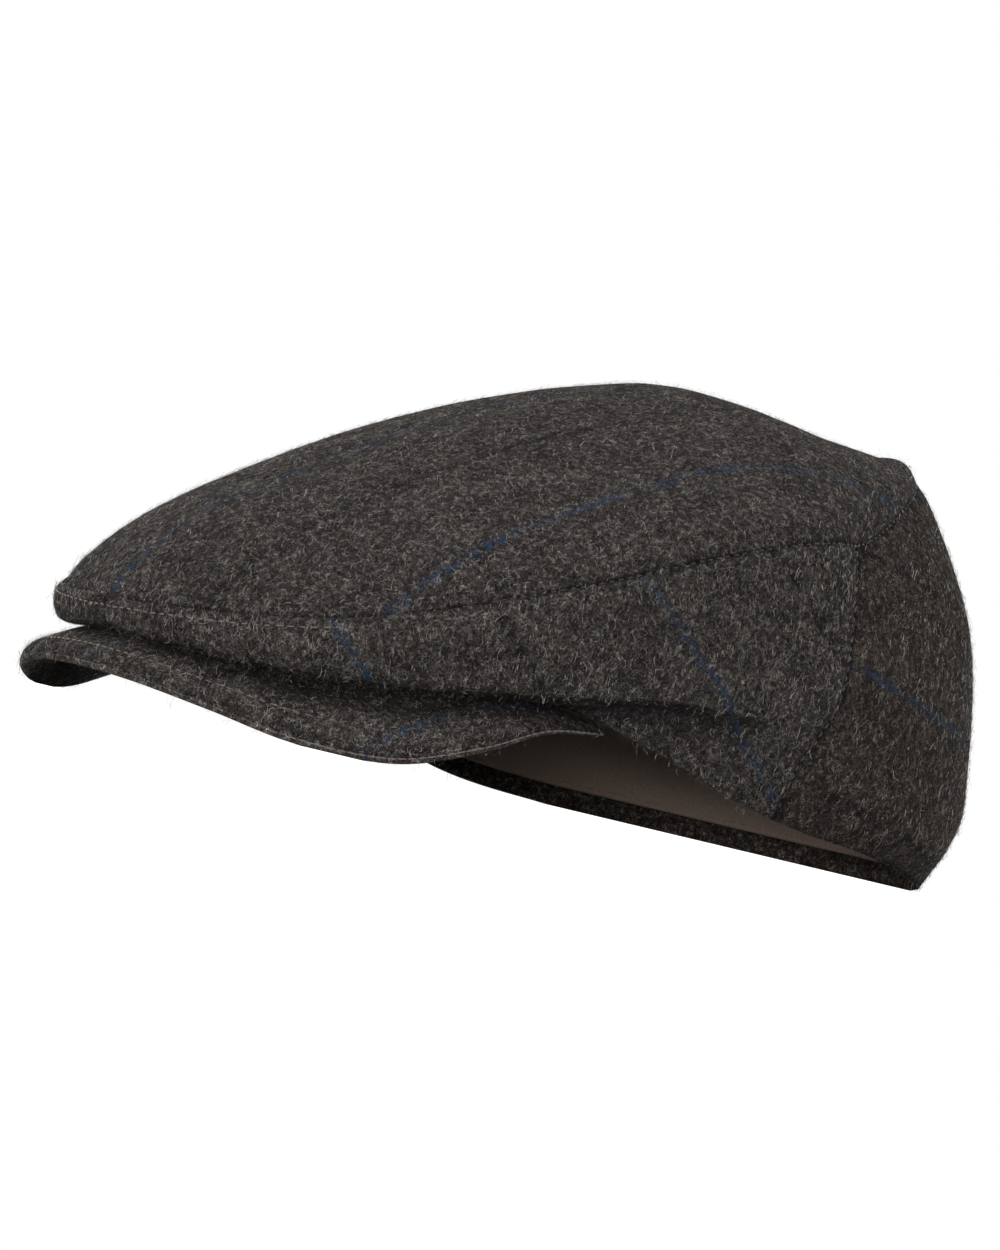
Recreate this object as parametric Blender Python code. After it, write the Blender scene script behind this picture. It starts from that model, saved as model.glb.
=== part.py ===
"""Flat cap of wool tweed, resting on its peak and the back of its rim.

Metres, +Z up. The peak points to -Y, the wearer's left is +X, and the origin is on the floor, under
the middle of the cap. The crown is one lofted surface: every angle round the upright axis of the head
opening has a section that runs from the rim, round the overhang and over the seam, to the pole. The
panels are pieces of that surface with a cloth's thickness, so their seams meet. Points are worked out
from the head's axis, which stands HEAD_AXIS behind the origin.
"""
import math
from collections import namedtuple

import bmesh
import bpy
import numpy as np

# Head opening, inside the sweatband
HEAD_LENGTH = 0.205
HEAD_WIDTH = 0.163

# Sweatband: its cloth, its height, and the hem that it leaves bare below it
BAND_THICKNESS = 0.0012
BAND_HEIGHT = 0.024
HEM_HEIGHT = 0.0055
BAND_LEAN = 0.05

# Crown: how far its widest line stands out past the rim, its height, how far the peak lifts the rim
# in front, and how far the rim springs up behind the left ear
FRONT_OVERHANG = 0.0402
SIDE_OVERHANG = 0.0086
BACK_OVERHANG = 0.0025
CROWN_HEIGHT = 0.114
RIM_RISE = 0.0275
LEFT_LIFT = 0.006
CLOTH = 0.0024

# Peak: how far its edge stands out past the rim, the angle where its ends are, its covers, how much
# of a cover's thickness is left at the ends and at the edge, and how much it bows upwards
PEAK_LENGTH = 0.0446
PEAK_FLARE = 0.0006
PEAK_ANGLE = 60.0
PEAK_COVER = 0.0025
PEAK_END_SHARE = 0.4
PEAK_THINS_FROM = 0.6
PEAK_EDGE_SHARE = 0.4
PEAK_ROUNDED = 0.08
PEAK_BOW = 0.003

# Clearances: between the pieces, across a seam, and under the crown where it lies on the peak
GAP = 0.0003
SEAM_GAP = 0.0006
PEAK_CLEARANCE = 0.0008

# Angle from the front of the seam behind the ear, at the rim and at the top panel
REAR_SEAM = (94.5, 101.5)

# What follows from these sizes
RIM_LENGTH = HEAD_LENGTH / 2 + BAND_THICKNESS + GAP + CLOTH
RIM_WIDTH = HEAD_WIDTH / 2 + BAND_THICKNESS + GAP + CLOTH
CROWN_FRONT = RIM_LENGTH + FRONT_OVERHANG
CROWN_SIDE = RIM_WIDTH + SIDE_OVERHANG
CROWN_BACK = RIM_LENGTH + BACK_OVERHANG
PEAK_FRONT = RIM_LENGTH + PEAK_LENGTH
PEAK_SIDE = RIM_WIDTH + PEAK_FLARE
HEAD_AXIS = (PEAK_FRONT - CROWN_BACK) / 2

# Levels of a section, counted up from the rim
RIM, TUCK, LIP, BELLY, SEAM, SHOULDER, BROW, TOP, POLE = range(9)

# Sections of the crown. Each row: angle from the front in degrees, the rim's height as a share of
# RIM_RISE, then for each level from tuck to top its reach as a share of the crown's widest line at
# that angle and its height as a share of CROWN_HEIGHT. The other side is the mirror image.
Section = namedtuple("Section", "angle rim tuck lip belly seam shoulder brow top")
SECTIONS = (
    Section(0, 1.0, (.86, .17), (.965, .15), (1, .19), (.99, .225), (.86, .43), (.6, .65), (.3, .855)),
    Section(25, .98, (.86, .18), (.965, .152), (1, .2), (.988, .275), (.86, .455), (.6, .685), (.3, .875)),
    Section(50, .88, (.9, .205), (.955, .218), (1, .295), (.982, .455), (.86, .6), (.6, .765), (.3, .905)),
    Section(70, .64, (.92, .25), (.965, .275), (1, .365), (.97, .6), (.84, .725), (.6, .845), (.3, .942)),
    Section(90, .28, (.94, .225), (.97, .272), (1, .385), (.94, .695), (.81, .8), (.58, .893), (.3, .967)),
    Section(103, .1, (.97, .18), (.99, .25), (.995, .42), (.86, .72), (.76, .83), (.57, .918), (.3, .981)),
    Section(125, .0, (.99, .12), (1, .25), (.947, .56), (.77, .85), (.66, .907), (.49, .947), (.28, .985)),
    Section(150, .0, (.99, .12), (1, .25), (.917, .61), (.69, .935), (.6, .955), (.45, .966), (.26, .983)),
    Section(180, .0, (.99, .12), (1, .25), (.907, .6), (.6, .92), (.52, .95), (.39, .966), (.23, .981)),
)
POLE_HEIGHT = 0.994
LIFT_FROM, LIFT_TO = 70.0, 160.0
FRONT_ROUNDNESS = 2.25
BACK_ROUNDNESS = 2.1

# Edge of the peak, from its middle to its left end. Each row: reach to the side as a share of
# PEAK_SIDE, reach to the front as a share of PEAK_FRONT, and the underside's height as a share of
# RIM_RISE. The last point is where the edge runs in under the rim.
EdgePoint = namedtuple("EdgePoint", "side front height")
PEAK_EDGE = (
    EdgePoint(0.00, 1.000, .200),
    EdgePoint(0.29, 0.980, .165),
    EdgePoint(0.54, 0.915, .070),
    EdgePoint(0.75, 0.815, -.045),
    EdgePoint(0.92, 0.695, -.015),
    EdgePoint(1.00, 0.570, .255),
    EdgePoint(0.975, 0.440, .567),
)

# Faces along and across each piece, how finely the peak's top is sampled to lay the crown on it, and
# the distances below which two places count as one
TOP_GRID = (24, 24)
SIDE_GRID = (34, 12)
BACK_GRID = (24, 12)
PEAK_GRID = (32, 7)
BAND_GRID = (72, 3)
PEAK_SAMPLES = (81, 21)
NEAREST_SAMPLES = 3
SAME_PLACE = 1e-6
SMALL_STEP = 1e-3
POLE_ZONE = 0.02

COLLECTION = "flat_cap"
TWEED = (0.045, 0.038, 0.034, 1.0)
BAND_CLOTH = (0.026, 0.020, 0.017, 1.0)


def smooth_through(stations, values, at):
    """Read a smooth curve through values at the given stations."""
    stations = np.asarray(stations, float)
    values = np.asarray(values, float)
    tangents = np.gradient(values, stations, axis=0)
    index = np.clip(np.searchsorted(stations, at, side="right") - 1, 0, len(stations) - 2)
    span = (stations[index + 1] - stations[index]).reshape((-1,) + (1,) * (values.ndim - 1))
    t = (at - stations[index]).reshape(span.shape) / span
    start = (2 * t ** 3 - 3 * t ** 2 + 1) * values[index]
    leave = (t ** 3 - 2 * t ** 2 + t) * span * tangents[index]
    end = (3 * t ** 2 - 2 * t ** 3) * values[index + 1]
    arrive = (t ** 3 - t ** 2) * span * tangents[index + 1]
    return start + leave + end + arrive


def oval(angle, front, side, back):
    """Reach of a rounded oval at an angle from the front, in radians."""
    forward = np.cos(angle)
    sideways = np.abs(np.sin(angle)) / side
    in_front = forward > 0
    power = np.where(in_front, FRONT_ROUNDNESS, BACK_ROUNDNESS)
    lengthways = np.abs(forward) / np.where(in_front, front, back)
    return (lengthways ** power + sideways ** power) ** (-1 / power)


def head_reach(angle, outside):
    """Reach of the head opening's ellipse, a distance outside it."""
    length = HEAD_LENGTH / 2 + outside
    width = HEAD_WIDTH / 2 + outside
    return 1 / np.hypot(np.cos(angle) / length, np.sin(angle) / width)


def rim_reach(angle):
    return head_reach(angle, BAND_THICKNESS + GAP + CLOTH)


def section_table():
    """Angles and section values for a whole turn, and a turn more at each end so it has no break."""
    angles = np.array([section.angle for section in SECTIONS], float)
    values = np.array([(0.0, section.rim) + sum(section[2:], ()) for section in SECTIONS])
    turn = np.concatenate([-angles[-2:0:-1], angles])
    round_values = np.concatenate([values[-2:0:-1], values])
    return np.concatenate([turn - 360, turn, turn + 360]), np.tile(round_values, (3, 1))


def rim_height(angle):
    """Height of the rim, flat on the floor behind the ears and lifted by the peak in front."""
    angles, values = section_table()
    degrees = (np.degrees(angle) + 180) % 360 - 180
    share = smooth_through(angles, values[:, 1], degrees)
    behind_ear = np.clip((degrees - LIFT_FROM) / (LIFT_TO - LIFT_FROM), 0, 1)
    return np.maximum(share, 0) * RIM_RISE + LEFT_LIFT * np.sin(math.pi * behind_ear) ** 2


def sections(angle):
    """Reach and height of each level from rim to top, for an array of angles."""
    angles, values = section_table()
    degrees = (np.degrees(angle) + 180) % 360 - 180
    shares = smooth_through(angles, values, degrees).reshape(len(angle), -1, 2)
    reach = shares[:, :, 0] * oval(angle, CROWN_FRONT, CROWN_SIDE, CROWN_BACK)[:, None]
    height = shares[:, :, 1] * CROWN_HEIGHT
    reach[:, RIM] = rim_reach(angle)
    height[:, RIM] = rim_height(angle)
    return reach, height


def peak_half(across):
    """Half of the peak's thickness, which thins towards the ends; across runs from -1 at the right
    end to 1 at the left."""
    t = np.clip((np.abs(across) - PEAK_THINS_FROM) / (1 - PEAK_THINS_FROM), 0, 1)
    thinned = t * t * (3 - 2 * t)
    return GAP / 2 + PEAK_COVER * (1 - (1 - PEAK_END_SHARE) * thinned)


def peak_inner(across):
    """Middle of the peak's thickness along the rim, which it is sewn under."""
    angle = across * math.radians(PEAK_ANGLE)
    reach = rim_reach(angle) - CLOTH
    height = rim_height(angle) - GAP - peak_half(across)
    return np.stack([reach * np.sin(angle), -reach * np.cos(angle), height], -1)


def peak_edge(across):
    """Middle of the peak's thickness along its outer edge."""
    stations = np.linspace(0, 1, len(PEAK_EDGE) + 1)
    left = np.array(PEAK_EDGE) * np.array([PEAK_SIDE, -PEAK_FRONT, RIM_RISE])
    left[:, 2] += peak_half(stations[:-1])
    left = np.concatenate([left, peak_inner(stations[-1:])])
    right = left[:0:-1] * np.array([-1, 1, 1])
    points = np.concatenate([right, left])
    return smooth_through(np.linspace(-1, 1, len(points)), points, across)


def peak_sheet(across, out, above):
    """Points of the peak: out runs from 0 under the rim to 1 at the edge, and above is the height
    over the middle of its thickness."""
    inner = peak_inner(across)
    outer = peak_edge(across)
    points = inner + (outer - inner) * out[:, None]
    width = np.linalg.norm(outer - inner, axis=1)
    bow = PEAK_BOW * np.minimum(width / (PEAK_FRONT - HEAD_LENGTH / 2), 1)
    points[:, 2] += bow * 4 * out * (1 - out) + above
    return points


def peak_top(x, y):
    """Height of the peak's top at places in plan, and how far each place is from the peak."""
    along, outward = PEAK_SAMPLES
    across, out = np.meshgrid(np.linspace(-1, 1, along), np.linspace(0, 1, outward))
    sheet = peak_sheet(across.ravel(), out.ravel(), peak_half(across.ravel()))
    distance = np.hypot(sheet[None, :, 0] - x[:, None], sheet[None, :, 1] - y[:, None])
    nearest = np.argsort(distance, axis=1)[:, :NEAREST_SAMPLES]
    picked = np.take_along_axis(distance, nearest, axis=1)
    weights = 1 / (picked + SAME_PLACE)
    return (sheet[nearest, 2] * weights).sum(axis=1) / weights.sum(axis=1), picked[:, 0]


def crown(angle, level):
    """Points of the crown's outside at arrays of angles and levels."""
    reach, height = sections(angle)
    far_reach, far_height = sections(angle + math.pi)
    reach = np.concatenate([reach, np.zeros((len(angle), 1)), -far_reach[:, -1:]], axis=1)
    pole = np.full((len(angle), 1), POLE_HEIGHT * CROWN_HEIGHT)
    height = np.concatenate([height, pole, far_height[:, -1:]], axis=1)
    profile = np.stack([reach, height], -1)
    tangents = np.gradient(profile, axis=1)
    index = np.clip(np.floor(level).astype(int), 0, profile.shape[1] - 2)
    row = np.arange(len(angle))
    t = (level - index)[:, None]
    here = profile[row, index]
    there = profile[row, index + 1]
    point = (2 * t ** 3 - 3 * t ** 2 + 1) * here + (t ** 3 - 2 * t ** 2 + t) * tangents[row, index]
    point += (3 * t ** 2 - 2 * t ** 3) * there + (t ** 3 - t ** 2) * tangents[row, index + 1]
    return np.stack([point[:, 0] * np.sin(angle), -point[:, 0] * np.cos(angle), point[:, 1]], -1)


def crown_normal(angle, level):
    """Outward normals of the crown; at the pole the two tangents are a quarter turn apart."""
    above = level + SMALL_STEP
    below = level - SMALL_STEP
    up = crown(angle, above) - crown(angle, below)
    round_it = crown(angle + SMALL_STEP, level) - crown(angle - SMALL_STEP, level)
    quarter = crown(angle + math.pi / 2, above) - crown(angle + math.pi / 2, below)
    near_pole = level > POLE - POLE_ZONE
    round_it = np.where(near_pole[:, None], -quarter, round_it)
    normal = np.cross(round_it, up)
    normal /= np.linalg.norm(normal, axis=1)[:, None]
    return normal


def crown_wall(angle, level):
    """Outside and inside of the crown's cloth. The rim's two edges stay level, and the overhang
    lies on the peak."""
    outside = crown(angle, level)
    normal = crown_normal(angle, level)
    low = np.flatnonzero((level < BELLY) & (np.cos(angle) > 0))
    if len(low):
        top, distance = peak_top(outside[low, 0], outside[low, 1])
        lifted = np.maximum(outside[low, 2], top + PEAK_CLEARANCE)
        outside[low, 2] = np.where(distance < CLOTH, lifted, outside[low, 2])
    inside = outside - CLOTH * normal
    at_rim = level <= RIM
    inside[:, 2] = np.where(at_rim & (np.cos(angle) < 0), outside[:, 2], inside[:, 2])
    return outside, inside


def beside_seam(angle, side):
    """Level half a seam gap above or below the top seam."""
    level = np.full_like(angle, SEAM)
    along = crown(angle, level + SMALL_STEP) - crown(angle, level - SMALL_STEP)
    speed = np.linalg.norm(along, axis=1) / (2 * SMALL_STEP)
    return level + side * SEAM_GAP / 2 / speed


def cloth_piece(name, grid, wall, material, collection, closed=False):
    """A grid that wall() lays on its two faces: it takes the grid's places, -1 to 1 each way, and
    returns the outside and the inside. A closed piece is a ring whose ends meet."""
    mesh = bpy.data.meshes.new(name)
    shape = bmesh.new()
    place = shape.verts.layers.float_vector.new("place")
    bmesh.ops.create_grid(shape, x_segments=grid[0], y_segments=grid[1], size=1.0)
    for vertex in shape.verts:
        vertex[place] = vertex.co
    extruded = bmesh.ops.extrude_face_region(shape, geom=shape.faces[:])
    inner = {item for item in extruded["geom"] if isinstance(item, bmesh.types.BMVert)}
    vertices = list(shape.verts)
    places = np.array([vertex[place] for vertex in vertices])
    outside, inside = wall(places[:, 0], places[:, 1])
    for number, vertex in enumerate(vertices):
        vertex.co = inside[number] if vertex in inner else outside[number]
        vertex.co.y += HEAD_AXIS
    if closed:
        ends = [face for face in shape.faces if all(abs(v[place].x) > 1 - SAME_PLACE for v in face.verts)]
        bmesh.ops.delete(shape, geom=ends, context="FACES_ONLY")
        bmesh.ops.remove_doubles(shape, verts=shape.verts[:], dist=SAME_PLACE)
    bmesh.ops.triangulate(shape, faces=shape.faces[:])
    bmesh.ops.recalc_face_normals(shape, faces=shape.faces[:])
    shape.to_mesh(mesh)
    shape.free()
    mesh.shade_smooth()
    mesh.materials.append(material)
    piece = bpy.data.objects.new(name, mesh)
    collection.objects.link(piece)
    return piece


def rear_seam(share):
    """Angle of the seam behind the ear, from the rim at 0 to the top panel at 1."""
    return np.radians(REAR_SEAM[0] + (REAR_SEAM[1] - REAR_SEAM[0]) * share ** 3)


def side_wall(side):
    """Places of a side panel: from the front middle to the rear seam, and from rim to top seam."""
    def wall(along, up):
        share = (up + 1) / 2
        first = SEAM_GAP / 2 / CROWN_SIDE
        last = rear_seam(share) - first
        angle = side * (first + (last - first) * (along + 1) / 2)
        level = np.where(share > 1 - SAME_PLACE, beside_seam(angle, -1), share * SEAM)
        return crown_wall(angle, level)
    return wall


def back_wall(along, up):
    """Places of the back panel, between the rear seams, from rim to top seam."""
    share = (up + 1) / 2
    rear = rear_seam(share) + SEAM_GAP / 2 / CROWN_SIDE
    angle = rear + (2 * math.pi - 2 * rear) * (along + 1) / 2
    level = np.where(share > 1 - SAME_PLACE, beside_seam(angle, -1), share * SEAM)
    return crown_wall(angle, level)


def top_wall(across, along):
    """Places of the top panel: the square grid becomes a disc whose rings are levels."""
    wide = np.abs(across) > np.abs(along)
    ring = np.where(wide, np.abs(across), np.abs(along))
    quarter = math.pi / 4
    with np.errstate(divide="ignore", invalid="ignore"):
        from_side = np.where(across > 0, 0, 4 * quarter) + quarter * np.nan_to_num(along / across)
        from_back = np.where(along > 0, 2, -2) * quarter - quarter * np.nan_to_num(across / along)
    angle = np.where(wide, from_side, from_back) + math.pi / 2
    level = np.where(ring > 1 - SAME_PLACE, beside_seam(angle, 1), POLE - ring * (POLE - SEAM))
    return crown_wall(angle, level)


def peak_wall(face):
    """Places of a peak cover: face is 1 for the top cover and -1 for the under cover, and both are
    rounded towards the peak's edge and ends."""
    def wall(across, outward):
        out = (outward + 1) / 2
        from_edge = np.clip((1 - out) / PEAK_ROUNDED, 0, 1)
        from_end = np.clip((1 - np.abs(across)) / PEAK_ROUNDED, 0, 1)
        fullness = PEAK_EDGE_SHARE + (1 - PEAK_EDGE_SHARE) * np.sqrt(from_edge * from_end)
        skin = GAP / 2 + (peak_half(across) - GAP / 2) * fullness
        seam = np.full_like(out, GAP / 2)
        return peak_sheet(across, out, face * skin), peak_sheet(across, out, face * seam)
    return wall


def band_wall(turn, up):
    """Places of the sweatband, a ring that leans in a little with the head."""
    angle = turn * math.pi
    height = (up + 1) / 2 * BAND_HEIGHT
    lean = height * BAND_LEAN
    base = rim_height(angle) + HEM_HEIGHT + height
    outer = head_reach(angle, BAND_THICKNESS) - lean
    inner = head_reach(angle, 0.0) - lean
    outside = np.stack([outer * np.sin(angle), -outer * np.cos(angle), base], -1)
    inside = np.stack([inner * np.sin(angle), -inner * np.cos(angle), base], -1)
    return outside, inside


def plain_material(name, colour, roughness):
    material = bpy.data.materials.new(name)
    material.use_nodes = True
    shader = material.node_tree.nodes["Principled BSDF"]
    shader.inputs["Base Color"].default_value = colour
    shader.inputs["Roughness"].default_value = roughness
    shader.inputs["Metallic"].default_value = 0.0
    material.diffuse_color = colour
    return material


def build():
    for leftover in list(bpy.data.objects):
        bpy.data.objects.remove(leftover, do_unlink=True)
    collection = bpy.data.collections.new(COLLECTION)
    bpy.context.scene.collection.children.link(collection)

    def tweed(name):
        return plain_material(name + "_tweed", TWEED, 0.95)

    cloth_piece("top_panel", TOP_GRID, top_wall, tweed("top_panel"), collection)
    cloth_piece("side_panel_left", SIDE_GRID, side_wall(1), tweed("side_panel_left"), collection)
    cloth_piece("side_panel_right", SIDE_GRID, side_wall(-1), tweed("side_panel_right"), collection)
    cloth_piece("back_panel", BACK_GRID, back_wall, tweed("back_panel"), collection)
    cloth_piece("peak_top_cover", PEAK_GRID, peak_wall(1), tweed("peak_top_cover"), collection)
    cloth_piece("peak_under_cover", PEAK_GRID, peak_wall(-1), tweed("peak_under_cover"), collection)
    band = plain_material("sweatband_cotton", BAND_CLOTH, 0.9)
    cloth_piece("sweatband", BAND_GRID, band_wall, band, collection, closed=True)


build()
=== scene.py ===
# %% [markdown]
# # A flat cap of wool tweed
#
# The cap is a soft thing that keeps its form: four panels of brushed tweed make the crown, two more
# cover the stiff peak, and a cotton sweatband lines the rim. This lesson builds each of them as a
# sheet of cloth with a real thickness, then adds what makes tweed look like tweed: flecked yarn,
# sparse stripes, seams that pull the cloth in, stitches, and a haze of loose fibres.

# %% Load the frame
import math
from collections import namedtuple

import bmesh
import bpy
import numpy as np
from mathutils import Matrix, Vector, noise


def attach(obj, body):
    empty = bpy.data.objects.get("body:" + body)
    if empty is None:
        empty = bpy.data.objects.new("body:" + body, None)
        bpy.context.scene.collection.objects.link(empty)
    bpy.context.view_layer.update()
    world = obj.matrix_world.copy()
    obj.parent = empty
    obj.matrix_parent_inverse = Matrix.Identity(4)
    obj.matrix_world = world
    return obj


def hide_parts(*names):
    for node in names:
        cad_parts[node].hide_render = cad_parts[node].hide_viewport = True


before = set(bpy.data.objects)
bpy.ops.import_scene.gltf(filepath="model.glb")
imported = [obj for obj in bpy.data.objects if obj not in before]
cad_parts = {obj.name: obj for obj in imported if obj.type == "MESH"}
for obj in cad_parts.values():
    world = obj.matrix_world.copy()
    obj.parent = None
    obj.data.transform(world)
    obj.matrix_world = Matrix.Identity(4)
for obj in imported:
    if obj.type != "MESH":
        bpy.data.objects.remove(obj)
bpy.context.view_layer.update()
MM = 0.001

# %% [markdown]
# ## The camera
#
# The picture shows the cap from the wearer's left and a little in front, and rolled, so that the
# peak is high on the left and the back is low on the right. A long lens keeps the shape from
# stretching. The camera stands just above the floor, which is as near as it can come to the low
# view that lets us look in under the rim.

# %% Camera
AZIMUTH = math.radians(55.0)
DISTANCE = 1.30
CAMERA_HEIGHT = 0.0006
ROLL = math.radians(13.4)
AIM = Vector((-0.0065, -0.0033, 0.0425))
SEEN_HEIGHT = 0.3247
SENSOR = 36.0

camera_data = bpy.data.cameras.new("camera")
camera_data.sensor_fit = "VERTICAL"
camera_data.sensor_height = SENSOR
camera_data.lens = SENSOR * DISTANCE / SEEN_HEIGHT
camera_data.clip_start = 0.01
camera = bpy.data.objects.new("camera", camera_data)
bpy.context.scene.collection.objects.link(camera)
camera.location = (AIM.x + DISTANCE * math.sin(AZIMUTH), AIM.y - DISTANCE * math.cos(AZIMUTH), CAMERA_HEIGHT)
upright = (AIM - camera.location).to_track_quat("-Z", "Y").to_matrix()
rolled_over = upright @ Matrix.Rotation(ROLL, 3, "Z")
camera.matrix_world = Matrix.Translation(camera.location) @ rolled_over.to_4x4()
bpy.context.scene.camera = camera
print("lens, mm:", round(camera_data.lens, 1))

# %% [markdown]
# ## Sizes
#
# The same named sizes drive the plain solids that this cap is dressed over, so every sheet of cloth
# lands where its solid is. A section is written as a row of shares: how far out and how high the
# cloth is at each level, from the rim, round the overhang, over the top seam, to the pole.

# %% Sizes of the cap
HEAD_LENGTH = 0.205
HEAD_WIDTH = 0.163
BAND_THICKNESS = 0.0012
BAND_HEIGHT = 0.024
HEM_HEIGHT = 0.0055
BAND_LEAN = 0.05
FRONT_OVERHANG = 0.0402
SIDE_OVERHANG = 0.0086
BACK_OVERHANG = 0.0025
CROWN_HEIGHT = 0.114
RIM_RISE = 0.0275
LEFT_LIFT = 0.006
CLOTH = 0.0024
PEAK_LENGTH = 0.0446
PEAK_FLARE = 0.0006
PEAK_ANGLE = 60.0
PEAK_COVER = 0.0025
PEAK_END_SHARE = 0.4
PEAK_THINS_FROM = 0.6
PEAK_BOW = 0.003
GAP = 0.0003
PEAK_CLEARANCE = 0.0008
REAR_SEAM = (94.5, 101.5)

RIM_LENGTH = HEAD_LENGTH / 2 + BAND_THICKNESS + GAP + CLOTH
RIM_WIDTH = HEAD_WIDTH / 2 + BAND_THICKNESS + GAP + CLOTH
CROWN_FRONT = RIM_LENGTH + FRONT_OVERHANG
CROWN_SIDE = RIM_WIDTH + SIDE_OVERHANG
CROWN_BACK = RIM_LENGTH + BACK_OVERHANG
PEAK_FRONT = RIM_LENGTH + PEAK_LENGTH
PEAK_SIDE = RIM_WIDTH + PEAK_FLARE
HEAD_AXIS = (PEAK_FRONT - CROWN_BACK) / 2
print("crown reaches, mm:", [round(reach / MM, 1) for reach in (CROWN_FRONT, CROWN_SIDE, CROWN_BACK)])

# %% Sections of the crown and points of the peak's edge
RIM, TUCK, LIP, BELLY, SEAM, SHOULDER, BROW, TOP, POLE = range(9)
Section = namedtuple("Section", "angle rim tuck lip belly seam shoulder brow top")
SECTIONS = (
    Section(0, 1.0, (.86, .17), (.965, .15), (1, .19), (.99, .225), (.86, .43), (.6, .65), (.3, .855)),
    Section(25, .98, (.86, .18), (.965, .152), (1, .2), (.988, .275), (.86, .455), (.6, .685), (.3, .875)),
    Section(50, .88, (.9, .205), (.955, .218), (1, .295), (.982, .455), (.86, .6), (.6, .765), (.3, .905)),
    Section(70, .64, (.92, .25), (.965, .275), (1, .365), (.97, .6), (.84, .725), (.6, .845), (.3, .942)),
    Section(90, .28, (.94, .225), (.97, .272), (1, .385), (.94, .695), (.81, .8), (.58, .893), (.3, .967)),
    Section(103, .1, (.97, .18), (.99, .25), (.995, .42), (.86, .72), (.76, .83), (.57, .918), (.3, .981)),
    Section(125, .0, (.99, .12), (1, .25), (.947, .56), (.77, .85), (.66, .907), (.49, .947), (.28, .985)),
    Section(150, .0, (.99, .12), (1, .25), (.917, .61), (.69, .935), (.6, .955), (.45, .966), (.26, .983)),
    Section(180, .0, (.99, .12), (1, .25), (.907, .6), (.6, .92), (.52, .95), (.39, .966), (.23, .981)),
)
POLE_HEIGHT = 0.994
LIFT_FROM, LIFT_TO = 70.0, 160.0
FRONT_ROUNDNESS = 2.25
BACK_ROUNDNESS = 2.1
EdgePoint = namedtuple("EdgePoint", "side front height")
PEAK_EDGE = (
    EdgePoint(0.00, 1.000, .200),
    EdgePoint(0.29, 0.980, .165),
    EdgePoint(0.54, 0.915, .070),
    EdgePoint(0.75, 0.815, -.045),
    EdgePoint(0.92, 0.695, -.015),
    EdgePoint(1.00, 0.570, .255),
    EdgePoint(0.975, 0.440, .567),
)
PEAK_SAMPLES = (81, 21)
NEAREST_SAMPLES = 3
SAME_PLACE = 1e-6
SMALL_STEP = 1e-3
POLE_ZONE = 0.02
print("sections:", len(SECTIONS), "peak edge points:", len(PEAK_EDGE))

# %% [markdown]
# ## The crown as one surface
#
# A crown could be sculpted, or cut from a subdivided cage. Here it is lofted, because its shape
# follows a rule: each angle round the head has its own section. A smooth curve is read through the
# table twice, once round the head and once up the section, and both the panels and the stitches ask
# the same function where they lie.

# %% Curves
def between(t, start, leaving, end, arriving):
    """A smooth curve a share t of the way from start to end, with the slopes at both."""
    near = (2 * t ** 3 - 3 * t ** 2 + 1) * start + (t ** 3 - 2 * t ** 2 + t) * leaving
    return near + (3 * t ** 2 - 2 * t ** 3) * end + (t ** 3 - t ** 2) * arriving


def smooth_through(stations, values, at):
    stations = np.asarray(stations, float)
    values = np.asarray(values, float)
    slopes = np.gradient(values, stations, axis=0)
    index = np.clip(np.searchsorted(stations, at, side="right") - 1, 0, len(stations) - 2)
    span = (stations[index + 1] - stations[index]).reshape((-1,) + (1,) * (values.ndim - 1))
    t = (at - stations[index]).reshape(span.shape) / span
    return between(t, values[index], span * slopes[index], values[index + 1], span * slopes[index + 1])


def eased(t):
    return t * t * (3 - 2 * t)


# %% Ovals round the head
def from_front(angle):
    """Degrees from the front, from -180 on the right to 180 on the left."""
    return (np.degrees(angle) + 180) % 360 - 180


def placed(angle, reach, height):
    """Points at an angle round the head's axis, so far out and so high."""
    return np.stack([reach * np.sin(angle), -reach * np.cos(angle), height], -1)


def oval(angle, front, side, back):
    """Reach of a rounded oval at an angle from the front, in radians."""
    forward = np.cos(angle)
    sideways = np.abs(np.sin(angle)) / side
    in_front = forward > 0
    power = np.where(in_front, FRONT_ROUNDNESS, BACK_ROUNDNESS)
    lengthways = np.abs(forward) / np.where(in_front, front, back)
    return (lengthways ** power + sideways ** power) ** (-1 / power)


def crown_oval(angle):
    return oval(angle, CROWN_FRONT, CROWN_SIDE, CROWN_BACK)


def head_reach(angle, outside):
    length = HEAD_LENGTH / 2 + outside
    width = HEAD_WIDTH / 2 + outside
    return 1 / np.hypot(np.cos(angle) / length, np.sin(angle) / width)


def rim_reach(angle):
    return head_reach(angle, BAND_THICKNESS + GAP + CLOTH)


# %% Sections round the head
def section_table():
    """Angles and section values for a whole turn, and a turn more at each end so it has no break."""
    angles = np.array([section.angle for section in SECTIONS], float)
    values = np.array([(0.0, section.rim) + sum(section[2:], ()) for section in SECTIONS])
    turn = np.concatenate([-angles[-2:0:-1], angles])
    round_values = np.concatenate([values[-2:0:-1], values])
    return np.concatenate([turn - 360, turn, turn + 360]), np.tile(round_values, (3, 1))


SECTION_ANGLES, SECTION_VALUES = section_table()


def rim_height(angle):
    degrees = from_front(angle)
    share = smooth_through(SECTION_ANGLES, SECTION_VALUES[:, 1], degrees)
    behind_ear = np.clip((degrees - LIFT_FROM) / (LIFT_TO - LIFT_FROM), 0, 1)
    return np.maximum(share, 0) * RIM_RISE + LEFT_LIFT * np.sin(math.pi * behind_ear) ** 2


def sections(angle):
    shares = smooth_through(SECTION_ANGLES, SECTION_VALUES, from_front(angle)).reshape(len(angle), -1, 2)
    reach = shares[:, :, 0] * crown_oval(angle)[:, None]
    height = shares[:, :, 1] * CROWN_HEIGHT
    reach[:, RIM] = rim_reach(angle)
    height[:, RIM] = rim_height(angle)
    return reach, height


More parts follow.
